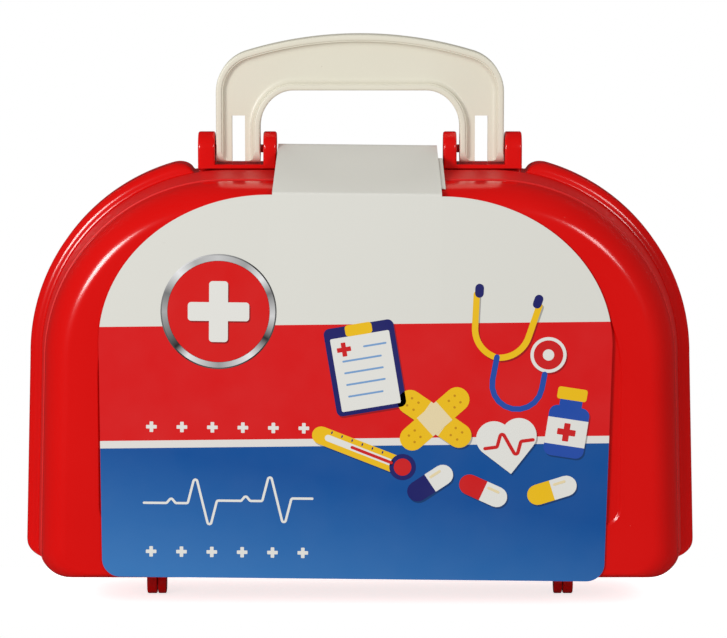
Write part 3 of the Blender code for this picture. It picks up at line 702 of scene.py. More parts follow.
def half_arch(mesh, y, inset):
    """The right half of the arch, from the middle of the grip's top to the middle of the crown."""
    foot = EAR_Z - HANDLE_THICKNESS
    corner = (GRIP_HALF_WIDTH - GRIP_WIDE, y, GRIP_TOP_Z - GRIP_HIGH)
    wide, high = GRIP_WIDE + inset, GRIP_HIGH + inset
    pen = Pen(mesh, (0.0, y, GRIP_TOP_Z + inset)).run_to((corner[0], y, GRIP_TOP_Z + inset), 6)
    pen.turn(corner, -90.0, 24, squash=wide / high).run_to((corner[0] + wide, y, foot), 10)
    outer = HANDLE_HALF_WIDTH - inset
    pen.run_to((outer, y, foot), 3)
    crown_z = HANDLE_TOP_Z - CROWN_RADIUS
    shoulder_x = HANDLE_HALF_WIDTH - HANDLE_SHOULDER
    shoulder_z = crown_z + math.sqrt((CROWN_RADIUS - HANDLE_SHOULDER) ** 2 - shoulder_x ** 2)
    join = math.degrees(math.atan2(shoulder_z - crown_z, shoulder_x))
    pen.run_to((outer, y, shoulder_z), 12).turn((shoulder_x, y, shoulder_z), join, 26)
    pen.turn((0.0, y, crown_z), 90.0 - join, 16)
    return pen.edges


def handle_side(mesh, facing):
    """Wires from the middle of the handle's thickness to its web, on one side."""
    half = HANDLE_THICKNESS / 2
    wires = [half_arch(mesh, facing * share * (half - EDGE_ROUND), 0.0) for share in (0.35, 0.75)]
    for out, back in quarter(6):
        wires.append(half_arch(mesh, facing * (half - EDGE_ROUND * (1 - out)), EDGE_ROUND * back))
    lip_start = RIM_WIDTH - RIM_INNER_ROUND
    for out, back in quarter(4):
        inset = lip_start + RIM_INNER_ROUND * out
        wires.append(half_arch(mesh, facing * (half - RIM_INNER_ROUND * back), inset))
    web_y = WEB / 2
    for out, back in quarter(7):
        inset = RIM_WIDTH + RIM_DRAFT / 2 + WEB_FILLET * back
        wires.append(half_arch(mesh, facing * (web_y + WEB_FILLET * (1 - out)), inset))
    wires.append(half_arch(mesh, facing * web_y, RIM_WIDTH + RIM_DRAFT + WEB_FILLET + FLAT_BORDER / 2))
    return wires


# %% Skin, trim and drill the handle
def box_mesh(low, high):
    mesh = bmesh.new()
    size = Vector(high) - Vector(low)
    place = Matrix.Translation((Vector(low) + Vector(high)) / 2) @ Matrix.Diagonal((*size, 1.0))
    bmesh.ops.create_cube(mesh, size=1.0, matrix=place)
    return mesh


def handle_mesh():
    mesh = bmesh.new()
    front, back = handle_side(mesh, FRONT), handle_side(mesh, BACK)
    skin(mesh, front[::-1] + back)
    for wire in (front[-1], back[-1]):
        close_half(mesh, wire)
    mirror_whole(mesh)
    return mesh


def foot_trim():
    """What is cut away so that the feet are round about the ears' axis."""
    mesh = bmesh.new()
    radius = HANDLE_THICKNESS / 2
    out = 2 * radius
    x = -HANDLE_HALF_WIDTH - SINK
    pen = Pen(mesh, (x, -radius, EAR_Z)).turn((x, 0.0, EAR_Z), -180.0, ROUND_PIECES, axis=(-1.0, 0.0, 0.0))
    for y, z in ((out, EAR_Z), (out, EAR_Z - 2 * out), (-out, EAR_Z - 2 * out), (-out, EAR_Z)):
        pen.run_to((x, y, z))
    thicken(mesh, fill(mesh, pen.close()), (-2 * x, 0.0, 0.0))
    bmesh.ops.recalc_face_normals(mesh, faces=mesh.faces)
    return make_object("foot_trim", mesh)


handle = make_object("carry_handle", handle_mesh())
slot_box = box_mesh((SLOT_X, -HANDLE_THICKNESS, EAR_Z - HANDLE_THICKNESS),
                    (SLOT_X + SLOT_WIDTH, HANDLE_THICKNESS, SLOT_TOP_Z))
leg = HANDLE_HALF_WIDTH - GRIP_HALF_WIDTH
hole = pin_mesh(GRIP_HALF_WIDTH - SINK, leg + 2 * SINK, EAR_PIN + PIN_CLEARANCE, EAR_Z)
cuts = joined([foot_trim(), both_sides([slot_box], "slots"), both_sides([hole], "pin_holes")])
work_with(handle, cuts, "DIFFERENCE")
print("handle:", len(handle.data.polygons), "faces")

# %% [markdown]
# ## The card sleeve
#
# A printed card hangs over the case: a D-shaped panel in front, and a strap that folds over the
# top between the ears. Card is a sheet, so it is modelled as one: a flat face, an edge that is
# extruded up the strap, and a Solidify for its half millimetre. The fold is a spin of the
# edge about X, which gives it the small radius that scored card has.

# %% Sizes of the card
CARD_THICKNESS = 0.0005
CARD_Y = HALF_DEPTH + SEAT_GAP + CARD_THICKNESS / 2
CARD_MARGIN, CARD_SHOULDER_RISE, CARD_BASE_MARGIN = 0.0336, 0.0097, 0.0032
CARD_HALF_WIDTH = HALF_WIDTH - CARD_MARGIN
CARD_SHOULDER_Z = SHOULDER_Z + CARD_SHOULDER_RISE
CARD_BASE_Z = BASE_Z + CARD_BASE_MARGIN
CARD_CORNER = 0.0075
CARD_FLARE = -0.0165
CARD_SHIFT = -0.0019
CARD_TILT_SHARE = 0.0105
CARD_TILT = math.atan(CARD_TILT_SHARE)
STRAP_HALF_WIDTH = 0.0348
STRAP_EAR_WIDTH = 0.0334
STRAP_STEP = 0.0004
FOLD_Y, FOLD_Z = -0.04285, 0.17705
APEX_Y, APEX_Z = -0.003, 0.192
PANEL_TOP_Z = 0.17585
APEX_CROWN = 0.0006
STRAP_TOP_Z = APEX_Z + APEX_CROWN
strap_slope = math.atan2(APEX_Z - FOLD_Z, APEX_Y - FOLD_Y)
print("the strap slopes at", round(math.degrees(strap_slope), 1), "degrees")


# %% Panel and strap as one sheet
def strap_half_width(y):
    share = min(max((y - FOLD_Y) / (APEX_Y - FOLD_Y), 0.0), 1.0)
    return STRAP_HALF_WIDTH + (STRAP_EAR_WIDTH - STRAP_HALF_WIDTH) * share


def pull(mesh, edges, place):
    """Extrude edges that lie along X to a new place (y, z), narrowed as the strap is there."""
    made = bmesh.ops.extrude_edge_only(mesh, edges=edges)["geom"]
    old_y = edges[0].verts[0].co.y
    share = strap_half_width(-abs(place[0])) / strap_half_width(-abs(old_y))
    for point in points_in(made):
        point.co = Vector((point.co.x * share, place[0], place[1]))
    return [edge for edge in edges_in(made)
            if all(abs(point.co.z - place[1]) < SEW for point in edge.verts)]


def bend(mesh, edges, radius, degrees, pieces):
    """Roll upright edges over backwards, about a line along X that lies behind them."""
    start = edges[0].verts[0].co
    parts = list(dict.fromkeys([point for edge in edges for point in edge.verts])) + list(edges)
    made = bmesh.ops.spin(mesh, geom=parts, cent=(0.0, start.y + radius, start.z), axis=(-1, 0, 0),
                          angle=math.radians(degrees), steps=pieces)
    return edges_in(made["geom_last"])


def place_card(mesh):
    """The card sits a little to the left, and turned by about half a degree."""
    pivot = Vector((0.0, 0.0, SHOULDER_Z))
    turn = Matrix.Rotation(CARD_TILT, 4, "Y")
    move = Matrix.Translation(pivot + Vector((CARD_SHIFT, 0.0, 0.0))) @ turn @ Matrix.Translation(-pivot)
    bmesh.ops.transform(mesh, matrix=move, verts=mesh.verts)


def top_edges(mesh, z, half_width):
    return [edge for edge in mesh.edges
            if all(abs(point.co.z - z) < SEW and abs(point.co.x) < half_width + SEW for point in edge.verts)]


def card_mesh():
    mesh = bmesh.new()
    wide = CARD_HALF_WIDTH - STRAP_HALF_WIDTH - STRAP_STEP
    high = PANEL_TOP_Z - CARD_SHOULDER_Z
    wire = half_d(mesh, -CARD_Y, CARD_HALF_WIDTH, CARD_FLARE, wide, high, CARD_SHOULDER_Z, CARD_BASE_Z,
                  CARD_CORNER)
    close_half(mesh, wire)
    mirror_whole(mesh)
    for x in (STRAP_HALF_WIDTH, -STRAP_HALF_WIDTH):
        bmesh.ops.bisect_plane(mesh, geom=all_of(mesh), dist=SEW, plane_co=(x, 0, 0), plane_no=(1, 0, 0))
    edges = top_edges(mesh, PANEL_TOP_Z, STRAP_HALF_WIDTH)
    tangent = FOLD_Z - (FOLD_Y + CARD_Y) * math.tan(strap_slope) - PANEL_TOP_Z
    fold = math.pi / 2 - strap_slope
    edges = bend(mesh, edges, tangent / math.tan(fold / 2), math.degrees(fold), 7)
    for share in (0.3, 0.6, 1.0):
        y = FOLD_Y + (APEX_Y - FOLD_Y) * share
        edges = pull(mesh, edges, (y, FOLD_Z + (APEX_Z - FOLD_Z) * share))
    edges = pull(mesh, edges, (APEX_Y / 2, STRAP_TOP_Z - APEX_CROWN / 4))
    pull(mesh, edges, (0.0, STRAP_TOP_Z))
    bmesh.ops.recalc_face_normals(mesh, faces=mesh.faces)
    return mesh


def card_sheet(name, mesh):
    """A sheet of card: solid first, then its cut edges are made sharp."""
    place_card(mesh)
    sheet = make_object(name, mesh)
    body = sheet.modifiers.new("thickness", "SOLIDIFY")
    body.thickness = CARD_THICKNESS
    body.offset = 0.0
    settle(sheet)
    return sheet


card = card_sheet("card_panel", card_mesh())
print("card:", len(card.data.polygons), "faces")

# %% The lap that is glued under the strap, and the flap behind the case
LAP_SHIFT = 0.0018
LAP_FOLD_MARGIN, LAP_APEX_MARGIN = 0.005, 0.0085
TUCK_LENGTH = 0.006
BACK_FLAP_LENGTH = 0.055
CREASE_ROUND = 0.0008
CREASE_ANGLE = 0.1


def slope_place(y):
    return y, FOLD_Z + (y - FOLD_Y) * math.tan(strap_slope)


def flat_strip(name, path, shift=0.0, drop=0.0):
    """A strip of card along a path (y, z), as wide as the strap is there."""
    mesh = bmesh.new()
    y, z = path[0]
    half = strap_half_width(-abs(y))
    edges = Pen(mesh, (-half, y, z)).run_to((half, y, z)).edges
    for place in path[1:]:
        edges = pull(mesh, edges, place)
    bmesh.ops.translate(mesh, vec=(shift, 0.0, -drop), verts=mesh.verts)
    creases = [edge for edge in mesh.edges
               if len(edge.link_faces) == 2 and edge.calc_face_angle() > CREASE_ANGLE]
    round_off(mesh, creases, CREASE_ROUND, 4)
    return card_sheet(name, mesh)


lap_path = [slope_place(FOLD_Y + LAP_FOLD_MARGIN), slope_place(APEX_Y - LAP_APEX_MARGIN)]
lap = flat_strip("card_lap", lap_path, LAP_SHIFT, CARD_THICKNESS)
drop = CARD_THICKNESS + SEAT_GAP
back_path = [slope_place(APEX_Y - TUCK_LENGTH), (APEX_Y, APEX_Z), (0.0, STRAP_TOP_Z), (-APEX_Y, APEX_Z),
             (-FOLD_Y, FOLD_Z - drop / 2 + drop), (CARD_Y, PANEL_TOP_Z + drop),
             (CARD_Y, PANEL_TOP_Z + drop - BACK_FLAP_LENGTH)]
back_flap = flat_strip("card_back_flap", back_path, 0.0, drop)
print("flap:", len(back_flap.data.polygons), "faces")

# %% [markdown]
# ## Pictures on the card
#
# The front of the card carries a round emblem and small pictures in flat colours. Ink has next to
# no thickness, so a picture could be left to the shader. Drawn as thin closed plates instead, each
# 0.03 mm proud of the one below, the edges stay crisp from close up. A brush paints
# ribbons, an outline is filled and its corners are bevelled, and each ink becomes one piece.

# %% A brush and a drawing board, in millimetres
MILLIMETRE = 0.001
INK_STEP = 0.03
INK_SINK = 0.02
SHADE_SHIFT = (0.55, -0.7)
CIRCLE_PIECES = 72
ink_meshes = {}


class Brush:
    """Paints a ribbon with round ends: an edge that is extruded, or spun about one side."""

    def __init__(self, mesh, x, z, heading, width):
        self.mesh, self.width = mesh, width
        self.way = Matrix.Rotation(math.radians(heading), 3, ALONG_Y) @ Vector(ALONG_X)
        side = self.left() * width / 2
        points = [mesh.verts.new(Vector((x, 0.0, z)) + side * sign) for sign in (1, -1)]
        start = self.edge = mesh.edges.new(points)
        self.way.negate()
        self.end()
        self.way.negate()
        self.edge = start

    def left(self):
        return Vector((-self.way.z, 0.0, self.way.x))

    def middle(self):
        return (self.edge.verts[0].co + self.edge.verts[1].co) / 2

    def run(self, length, share=1.0):
        made = bmesh.ops.extrude_edge_only(self.mesh, edges=[self.edge])["geom"]
        points = points_in(made)
        bmesh.ops.scale(self.mesh, vec=(share, share, share), space=Matrix.Translation(-self.middle()),
                        verts=points)
        bmesh.ops.translate(self.mesh, vec=self.way * length, verts=points)
        self.edge = next(edge for edge in edges_in(made) if all(point in points for point in edge.verts))
        return self

    def turn(self, radius, degrees, pieces=10):
        centre = self.middle() + self.left() * math.copysign(radius, degrees)
        made = bmesh.ops.spin(self.mesh, geom=[*self.edge.verts, self.edge], cent=centre, axis=ALONG_Y,
                              angle=math.radians(degrees), steps=pieces)
        self.edge = edges_in(made["geom_last"])[0]
        self.way = Matrix.Rotation(math.radians(degrees), 3, ALONG_Y) @ self.way
        return self

    def end(self):
        """A round end in six short runs, each narrower than the one before."""
        radius = self.width / 2
        angles = [math.radians(degrees) for degrees in (0, 20, 38, 54, 68, 80, 88)]
        for near, far in zip(angles, angles[1:]):
            self.run(radius * (math.sin(far) - math.sin(near)), math.cos(far) / math.cos(near))
        return self


# %% A drawing: one picture, in layers of ink
class Drawing:
    """One picture about its own middle. Layers are counted up from the card."""

    def __init__(self, x, z, degrees=0.0, size=1.0, shade=True):
        turn = Matrix.Rotation(math.radians(degrees), 4, ALONG_Y)
        self.place = Matrix.Translation((x, 0.0, z)) @ turn @ Matrix.Scale(size, 4)
        self.shade = shade

    def lay(self, mesh, ink, layer):
        """Thicken flat shapes into plates, put them in place and add them to their ink."""
        bmesh.ops.remove_doubles(mesh, verts=mesh.verts, dist=0.01)
        bmesh.ops.transform(mesh, matrix=self.place, verts=mesh.verts)
        if self.shade and layer == 1 and ink != "shade":
            copy = mesh.copy()
            bmesh.ops.translate(copy, vec=(SHADE_SHIFT[0], 0.0, SHADE_SHIFT[1]), verts=copy.verts)
            add_plates(copy, "shade", 0.5)
        add_plates(mesh, ink, layer)

    def outline(self, ink, layer, corners, rounding=0.0, at=(0.0, 0.0), degrees=0.0):
        mesh = bmesh.new()
        pen = Pen(mesh, (corners[0][0], 0.0, corners[0][1]))
        for x, z in corners[1:]:
            pen.run_to((x, 0.0, z))
        fill(mesh, pen.close())
        if rounding:
            round_off(mesh, mesh.verts[:], rounding, 6, "VERTICES")
        move = Matrix.Translation((at[0], 0.0, at[1])) @ Matrix.Rotation(math.radians(degrees), 4, ALONG_Y)
        bmesh.ops.transform(mesh, matrix=move, verts=mesh.verts)
        self.lay(mesh, ink, layer)

    def box(self, ink, layer, width, height, rounding=0.0, at=(0.0, 0.0), degrees=0.0):
        x, z = width / 2, height / 2
        self.outline(ink, layer, [(-x, -z), (x, -z), (x, z), (-x, z)], rounding, at, degrees)

    def cross(self, ink, layer, reach, arm, rounding=0.0, at=(0.0, 0.0)):
        """A cross from a square, by extruding its four sides and rounding what sticks out."""
        mesh = bmesh.new()
        bmesh.ops.create_grid(mesh, x_segments=1, y_segments=1, size=arm / 2,
                              matrix=Matrix.Rotation(math.pi / 2, 4, "X"))
        for edge in mesh.edges[:]:
            out = (edge.verts[0].co + edge.verts[1].co).normalized()
            made = bmesh.ops.extrude_edge_only(mesh, edges=[edge])["geom"]
            bmesh.ops.translate(mesh, vec=out * (reach - arm / 2), verts=points_in(made))
        tips = [point for point in mesh.verts if len(point.link_faces) == 1]
        if rounding:
            round_off(mesh, tips, rounding, 6, "VERTICES")
        bmesh.ops.translate(mesh, vec=(at[0], 0.0, at[1]), verts=mesh.verts)
        self.lay(mesh, ink, layer)

    def ring(self, ink, layer, inner, outer, at=(0.0, 0.0)):
        """A ring between two bridged circles, or with no inner radius a disc."""
        mesh = bmesh.new()
        place = Matrix.Translation((at[0], 0.0, at[1])) @ Matrix.Rotation(math.pi / 2, 4, "X")
        if inner:
            for radius in (inner, outer):
                bmesh.ops.create_circle(mesh, segments=CIRCLE_PIECES, radius=radius, matrix=place)
            bmesh.ops.bridge_loops(mesh, edges=mesh.edges[:])
        else:
            bmesh.ops.create_circle(mesh, cap_ends=True, segments=CIRCLE_PIECES, radius=outer, matrix=place)
        self.lay(mesh, ink, layer)

    def ribbon(self, ink, layer, start, heading, width, moves, blunt=False):
        """A move is a length to run, or a radius and the degrees to turn left."""
        mesh = bmesh.new()
        brush = Brush(mesh, start[0], start[1], heading, width)
        for move in moves:
            if isinstance(move, tuple):
                brush.turn(*move)
            else:
                brush.run(move)
        if not blunt:
            brush.end()
        self.lay(mesh, ink, layer)


def add_plates(mesh, ink, layer):
    bmesh.ops.translate(mesh, vec=(0.0, INK_SINK, 0.0), verts=mesh.verts)
    thicken(mesh, mesh.faces[:], (0.0, -INK_SINK - INK_STEP * layer, 0.0))
    bmesh.ops.recalc_face_normals(mesh, faces=mesh.faces)
    data = bpy.data.meshes.new("plates")
    mesh.to_mesh(data)
    mesh.free()
    ink_meshes.setdefault(ink, bmesh.new()).from_mesh(data)
    bpy.data.meshes.remove(data)


print("a layer of ink is", INK_STEP, "mm thick")

# %% [markdown]
# ### The emblem
#
# A white cross on a red disc, inside a ring that is printed to look like polished metal. The
# ring is one flat plate: its bright and dark bands are in its finish, by angle.

# %% Draw the emblem
EMBLEM_X, EMBLEM_Z = -56.5, 127.3
EMBLEM_DISC, EMBLEM_RING = 21.1, 23.9

emblem = Drawing(EMBLEM_X, EMBLEM_Z, shade=False)
emblem.ring("ring", 1, EMBLEM_DISC - 0.1, EMBLEM_RING)
emblem.ring("ring_edge", 1.5, EMBLEM_RING - 0.55, EMBLEM_RING)
emblem.ring("emblem_red", 1, 0.0, EMBLEM_DISC)
emblem.cross("emblem_shade", 2, 12.65, 7.8, 1.4, at=(0.5, -0.6))
emblem.cross("white", 3, 12.65, 7.8, 1.4)
print("inks so far:", sorted(ink_meshes))

# %% [markdown]
# ### Small pictures
#
# The rest of the card carries plain signs of a doctor's work in flat colours: a stethoscope, a
# clipboard, a bottle, crossed plasters, a thermometer, capsules, a heart and a pulse line.

# %% How each small picture is drawn
def draw_stethoscope(x, z, degrees, size):
    art = Drawing(x, z, degrees, size)
    for side in (-1, 1):
        art.ribbon("yellow", 1, (side * 9.5, 19.0), -90.0 - side * 8.0, 1.9, [10.0, (9.0, -side * 68.0), 0.4])
        art.ribbon("navy", 2, (side * 9.0, 21.0), -90.0 - side * 8.0, 2.6, [1.6])
    art.ribbon("bright_blue", 2, (0.0, 1.5), -90.0, 1.7, [7.0, (7.5, 180.0), 4.5])
    art.ring("white", 1, 0.0, 5.4, at=(15.0, 5.0))
    art.ring("red", 2, 0.0, 4.4, at=(15.0, 5.0))
    art.ring("white", 3, 0.0, 1.7, at=(15.0, 5.0))


def draw_clipboard(x, z, degrees, size):
    art = Drawing(x, z, degrees, size)
    art.box("navy", 1, 26.0, 33.0, 2.2)
    art.box("white", 2, 22.0, 27.5, 0.6, at=(0.0, -1.2))
    art.box("yellow", 3, 10.0, 4.2, 1.2, at=(0.0, 14.6))
    art.cross("red", 3, 2.6, 1.7, 0.2, at=(-6.5, 8.0))
    lines = ((1.0, 8.0), (-7.5, 14.0), (-7.5, 14.0), (-7.5, 14.0), (-7.5, 12.5))
    for row, (start, length) in enumerate(lines):
        art.ribbon("pale_blue", 3, (start, 8.0 - row * 4.4), 0.0, 0.7, [length])


def draw_bottle(x, z, degrees, size):
    art = Drawing(x, z, degrees, size)
    art.box("bright_blue", 1, 15.0, 19.0, 3.0, at=(0.0, -3.0))
    art.box("bright_blue", 1.2, 8.4, 5.0, 0.4, at=(0.0, 7.5))
    art.box("yellow", 2, 11.0, 4.6, 1.0, at=(0.0, 11.2))
    art.box("white", 2, 15.0, 10.0, 0.0, at=(0.0, -3.2))
    art.cross("red", 3, 3.4, 2.3, 0.3, at=(0.0, -3.2))


# %% Plasters, thermometer, capsule and heart
def draw_plasters(x, z, degrees, size):
    art = Drawing(x, z, degrees, size)
    for layer, lean in ((1, -38.0), (3, 38.0)):
        art.box("yellow", layer, 29.0, 8.6, 4.2, degrees=lean)
        art.box("cream", layer + 1, 8.8, 8.6, 0.0, degrees=lean)
        turn = Matrix.Rotation(math.radians(lean), 3, ALONG_Y)
        for along in (-10.5, -7.8, 7.8, 10.5):
            for across in (-1.5, 1.5):
                dot = turn @ Vector((along, 0.0, across))
                art.ring("ochre", layer + 1, 0.0, 0.42, at=(dot.x, dot.z))


def draw_thermometer(x, z, degrees, size):
    art = Drawing(x, z, degrees, size)
    art.ribbon("yellow", 1, (-17.0, 0.0), 0.0, 6.0, [27.0])
    art.ribbon("white", 2, (-14.5, 0.0), 0.0, 2.2, [22.0])
    art.ribbon("red", 3, (-6.0, 0.0), 0.0, 1.0, [14.0])
    art.ring("navy", 2, 0.0, 4.4, at=(12.0, 0.0))
    art.ring("red", 3, 0.0, 2.9, at=(12.0, 0.0))
    for tick in range(6):
        art.ribbon("navy", 2, (-14.0 + 3.6 * tick, 2.4), -90.0, 0.45, [0.5])


def draw_capsule(x, z, degrees, size, ink):
    art = Drawing(x, z, degrees, size)
    art.ribbon("white", 1, (-4.6, 0.0), 0.0, 6.4, [9.2])
    art.ribbon(ink, 2, (-4.6, 0.0), 0.0, 6.4, [4.6], blunt=True)
    art.ribbon("cream", 3, (1.2, 1.5), 0.0, 0.8, [3.2])


def draw_heart(x, z, degrees, size):
    art = Drawing(x, z, degrees, size)
    mesh = bmesh.new()
    side, half = 8.0, 4.0
    pen = Pen(mesh, (0.0, 0.0, -side)).run_to((side, 0.0, 0.0))
    pen.turn((half, 0.0, half), 180.0, 20).turn((-half, 0.0, half), 180.0, 20)
    fill(mesh, pen.close())
    art.lay(mesh, "white", 1)
    pulse = [3.4, (0.7, 68.0), 3.2, (0.7, -136.0), 6.4, (0.7, 136.0), 3.2, (0.7, -68.0), 3.4]
    art.ribbon("red", 2, (-7.2, 1.2), 0.0, 1.1, pulse)


# %% Draw them all, at x, z, a turn and a size
draw_stethoscope(58.0, 107.5, -10.0, 1.38)
draw_clipboard(4.0, 104.5, 10.0, 1.12)
draw_bottle(88.0, 82.0, -8.0, 1.12)
draw_plasters(33.0, 83.5, 4.0, 1.2)
draw_thermometer(6.0, 68.5, -21.0, 1.25)
draw_heart(63.5, 71.0, 8.0, 1.3)
draw_capsule(31.5, 56.5, 34.0, 1.35, "navy")
draw_capsule(53.5, 53.5, -24.0, 1.35, "red")
draw_capsule(82.0, 54.0, 18.0, 1.35, "yellow")

pulse_line = Drawing(-52.0, 47.0, 0.0, 1.0, shade=False)
beat = [9.0, (0.8, 50.0), 1.6, (0.8, -100.0), 1.6, (0.8, 50.0), 4.0, (0.8, 76.0), 9.0, (0.8, -152.0), 18.0,
        (0.8, 152.0), 9.0, (0.8, -76.0)]
pulse_line.ribbon("white", 1, (-35.0, 0.0), 0.0, 1.0, [*beat, *beat, 8.0])
for column in range(6):
    for z in (79.0, 26.5):
        Drawing(-84.0 + 12.6 * column, z, shade=False).cross("white", 1, 2.2, 1.5, 0.25)
print("inks:", {ink: len(mesh.faces) for ink, mesh in sorted(ink_meshes.items())})

# %% Turn each ink into a piece on the card's face
card_face = Matrix.Translation((0.0, -CARD_Y - CARD_THICKNESS / 2, 0.0))
print_pieces = {}
for ink, mesh in sorted(ink_meshes.items()):
    bmesh.ops.transform(mesh, matrix=card_face @ Matrix.Scale(MILLIMETRE, 4), verts=mesh.verts)
    place_card(mesh)
    print_pieces[ink] = make_object("print_" + ink, mesh)
print("print pieces:", len(print_pieces))

# %% [markdown]
# ## What moves with what
#
# The front shell carries the printed panel and its pictures, the back shell carries the flap
# behind, and the handle swings by itself. Each new piece rides on the body that it moves with,
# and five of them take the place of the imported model's own solids.

# %% Put the pieces on their bodies
def stands_for(piece, body, slot, *nodes):
    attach(piece, body)
    if nodes:
        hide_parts(*nodes)


stands_for(front_shell, "front_half", "red_shell", "front_shell")
stands_for(back_shell, "back_half", "red_shell", "back_shell")
stands_for(handle, "swing_handle", "cream_handle", "handle")
stands_for(card, "front_half", "printed_card", "front_card")
stands_for(lap, "front_half", "printed_card")
stands_for(back_flap, "back_half", "printed_card", "back_card")
for piece in print_pieces.values():
    stands_for(piece, "front_half", "printed_card")

# %% [markdown]
# ## Building materials from nodes
#
# A finish is a shader with small differences over the surface: a colour that drifts, dust, fine
# scratches, a slow wave in the moulded skin. Each such effect is a node group that is built once
# and placed in every material that needs it. All of them read Object coordinates, which are
# the real metres of the piece, so a scratch has the same size on the case and the handle.

# %% Helpers for node trees
def feed(tree, item, feeds):
    """Give the inputs of a node their values or links."""
    for name, value in feeds.items():
        if isinstance(value, bpy.types.NodeSocket):
            tree.links.new(value, item.inputs[name])
        else:
            item.inputs[name].default_value = value


def node(tree, kind, feeds=None, **settings):
    """Add a node, set its properties, and feed its inputs."""
    item = tree.nodes.new("ShaderNode" + kind)
    for name, value in settings.items():
        setattr(item, name, value)
    feed(tree, item, feeds or {})
    return item


def maths(tree, operation, *values):
    """The result of one sum on values or sockets."""
    return node(tree, "Math", dict(enumerate(values)), operation=operation).outputs[0]


def new_group(name, inputs, outputs):
    """A node group with named sockets, its input node and its output node."""
    tree = bpy.data.node_groups.new(name, "ShaderNodeTree")
    kinds = {"Place": "NodeSocketVector", "Color": "NodeSocketColor"}
    for label, value in inputs:
        kind = kinds.get(label, "NodeSocketFloat")
        socket = tree.interface.new_socket(name=label, in_out="INPUT", socket_type=kind)
        if value is not None:
            socket.default_value = value
    for label in outputs:
        kind = kinds.get(label, "NodeSocketFloat")
        tree.interface.new_socket(name=label, in_out="OUTPUT", socket_type=kind)
    print("group", name, "gives", outputs)
    return tree, tree.nodes.new("NodeGroupInput").outputs, tree.nodes.new("NodeGroupOutput").inputs


def place_group(tree, group, feeds):
    item = tree.nodes.new("ShaderNodeGroup")
    item.node_tree = group
    feed(tree, item, feeds)
    return item.outputs


# %% [markdown]
# Moulded skin is never quite flat, and its colour is never quite even. Slow noise gives both.

# %% Group: slow waves and colour drift
waves_tree, start, end = new_group("moulded_waves", [("Place", None), ("Size", 0.05)], ["Height", "Drift"])
per_metre = maths(waves_tree, "DIVIDE", 1.0, start["Size"])
slow = node(waves_tree, "TexNoise", {"Vector": start["Place"], "Scale": per_metre, "Detail": 1.0})
waves_tree.links.new(slow.outputs["Fac"], end["Height"])
drift = node(waves_tree, "TexNoise", {"Vector": start["Place"], "Scale": 14.0, "Detail": 3.0})
waves_tree.links.new(drift.outputs["Fac"], end["Drift"])

# %% [markdown]
# A few specks of dust lie on any toy. A Voronoi pattern divides space into cells, and one cell in a
# few holds a speck: the cell's own random colour picks which.

# %% Group: dust specks
specks_tree, start, end = new_group("dust_specks", [("Place", None), ("Spacing", 0.004), ("Radius", 0.03),
                                                    ("Share", 0.2)], ["Mask"])
per_metre = maths(specks_tree, "DIVIDE", 1.0, start["Spacing"])
cells = node(specks_tree, "TexVoronoi", {"Vector": start["Place"], "Scale": per_metre})
near = maths(specks_tree, "LESS_THAN", cells.outputs["Distance"], start["Radius"])
pick = node(specks_tree, "SeparateColor", {"Color": cells.outputs["Color"]})
chosen = maths(specks_tree, "LESS_THAN", pick.outputs["Red"], start["Share"])
specks_tree.links.new(maths(specks_tree, "MULTIPLY", near, chosen), end["Mask"])

# %% [markdown]
# Use leaves hair scratches. Two layers of noise, each squeezed along one slanted line, are cut off
# high so that only hairs remain, and a third, slow noise lets them come in patches.

# %% Group: fine scratches
scratch_tree, start, end = new_group("fine_scratches", [("Place", None), ("Amount", 0.5)], ["Mask"])
hairs = []
for slant, fineness in ((0.5, 900.0), (-0.9, 1100.0)):
    lie = node(scratch_tree, "Mapping", {"Vector": start["Place"], "Rotation": (0.0, slant, slant / 3),
                                         "Scale": (fineness, fineness, 9.0)})
    noise = node(scratch_tree, "TexNoise", {"Vector": lie.outputs[0], "Scale": 1.0, "Detail": 0.0})
    hairs.append(node(scratch_tree, "MapRange", {"Value": noise.outputs["Fac"], "From Min": 0.70,
                                                 "From Max": 0.80}).outputs[0])
together = maths(scratch_tree, "MAXIMUM", *hairs)
patches = node(scratch_tree, "TexNoise", {"Vector": start["Place"], "Scale": 30.0, "Detail": 1.0})
cover = node(scratch_tree, "MapRange", {"Value": patches.outputs["Fac"], "From Min": 0.45, "From Max": 0.62,
                                        "To Max": start["Amount"]})
scratch_tree.links.new(maths(scratch_tree, "MULTIPLY", together, cover.outputs[0]), end["Mask"])

# %% [markdown]
# Card has fine fibres and a slight sag over larger distances, and its coating is a little mottled.

# %% Group: paper grain
grain_tree, start, end = new_group("paper_grain", [("Place", None)], ["Height", "Mottle"])
fibres = node(grain_tree, "TexNoise", {"Vector": start["Place"], "Scale": 2600.0, "Detail": 2.0})
sag = node(grain_tree, "TexNoise", {"Vector": start["Place"], "Scale": 9.0, "Detail": 1.0})
coarse = maths(grain_tree, "MULTIPLY", sag.outputs["Fac"], 14.0)
grain_tree.links.new(maths(grain_tree, "ADD", coarse, fibres.outputs["Fac"]), end["Height"])
mottle = node(grain_tree, "TexNoise", {"Vector": start["Place"], "Scale": 60.0, "Detail": 2.0})
grain_tree.links.new(mottle.outputs["Fac"], end["Mottle"])

# %% [markdown]
# The mould is polished for the crown, the face and the bead, but less so for the walls that
# slide off it between the bead and the step line. That strip is found by its distance from the
# parting plane, so one mask serves both halves.

# %% Group: the walls between bead and step line
BESIDE_BEAD = 0.0095
WALL_EASE = 0.0012

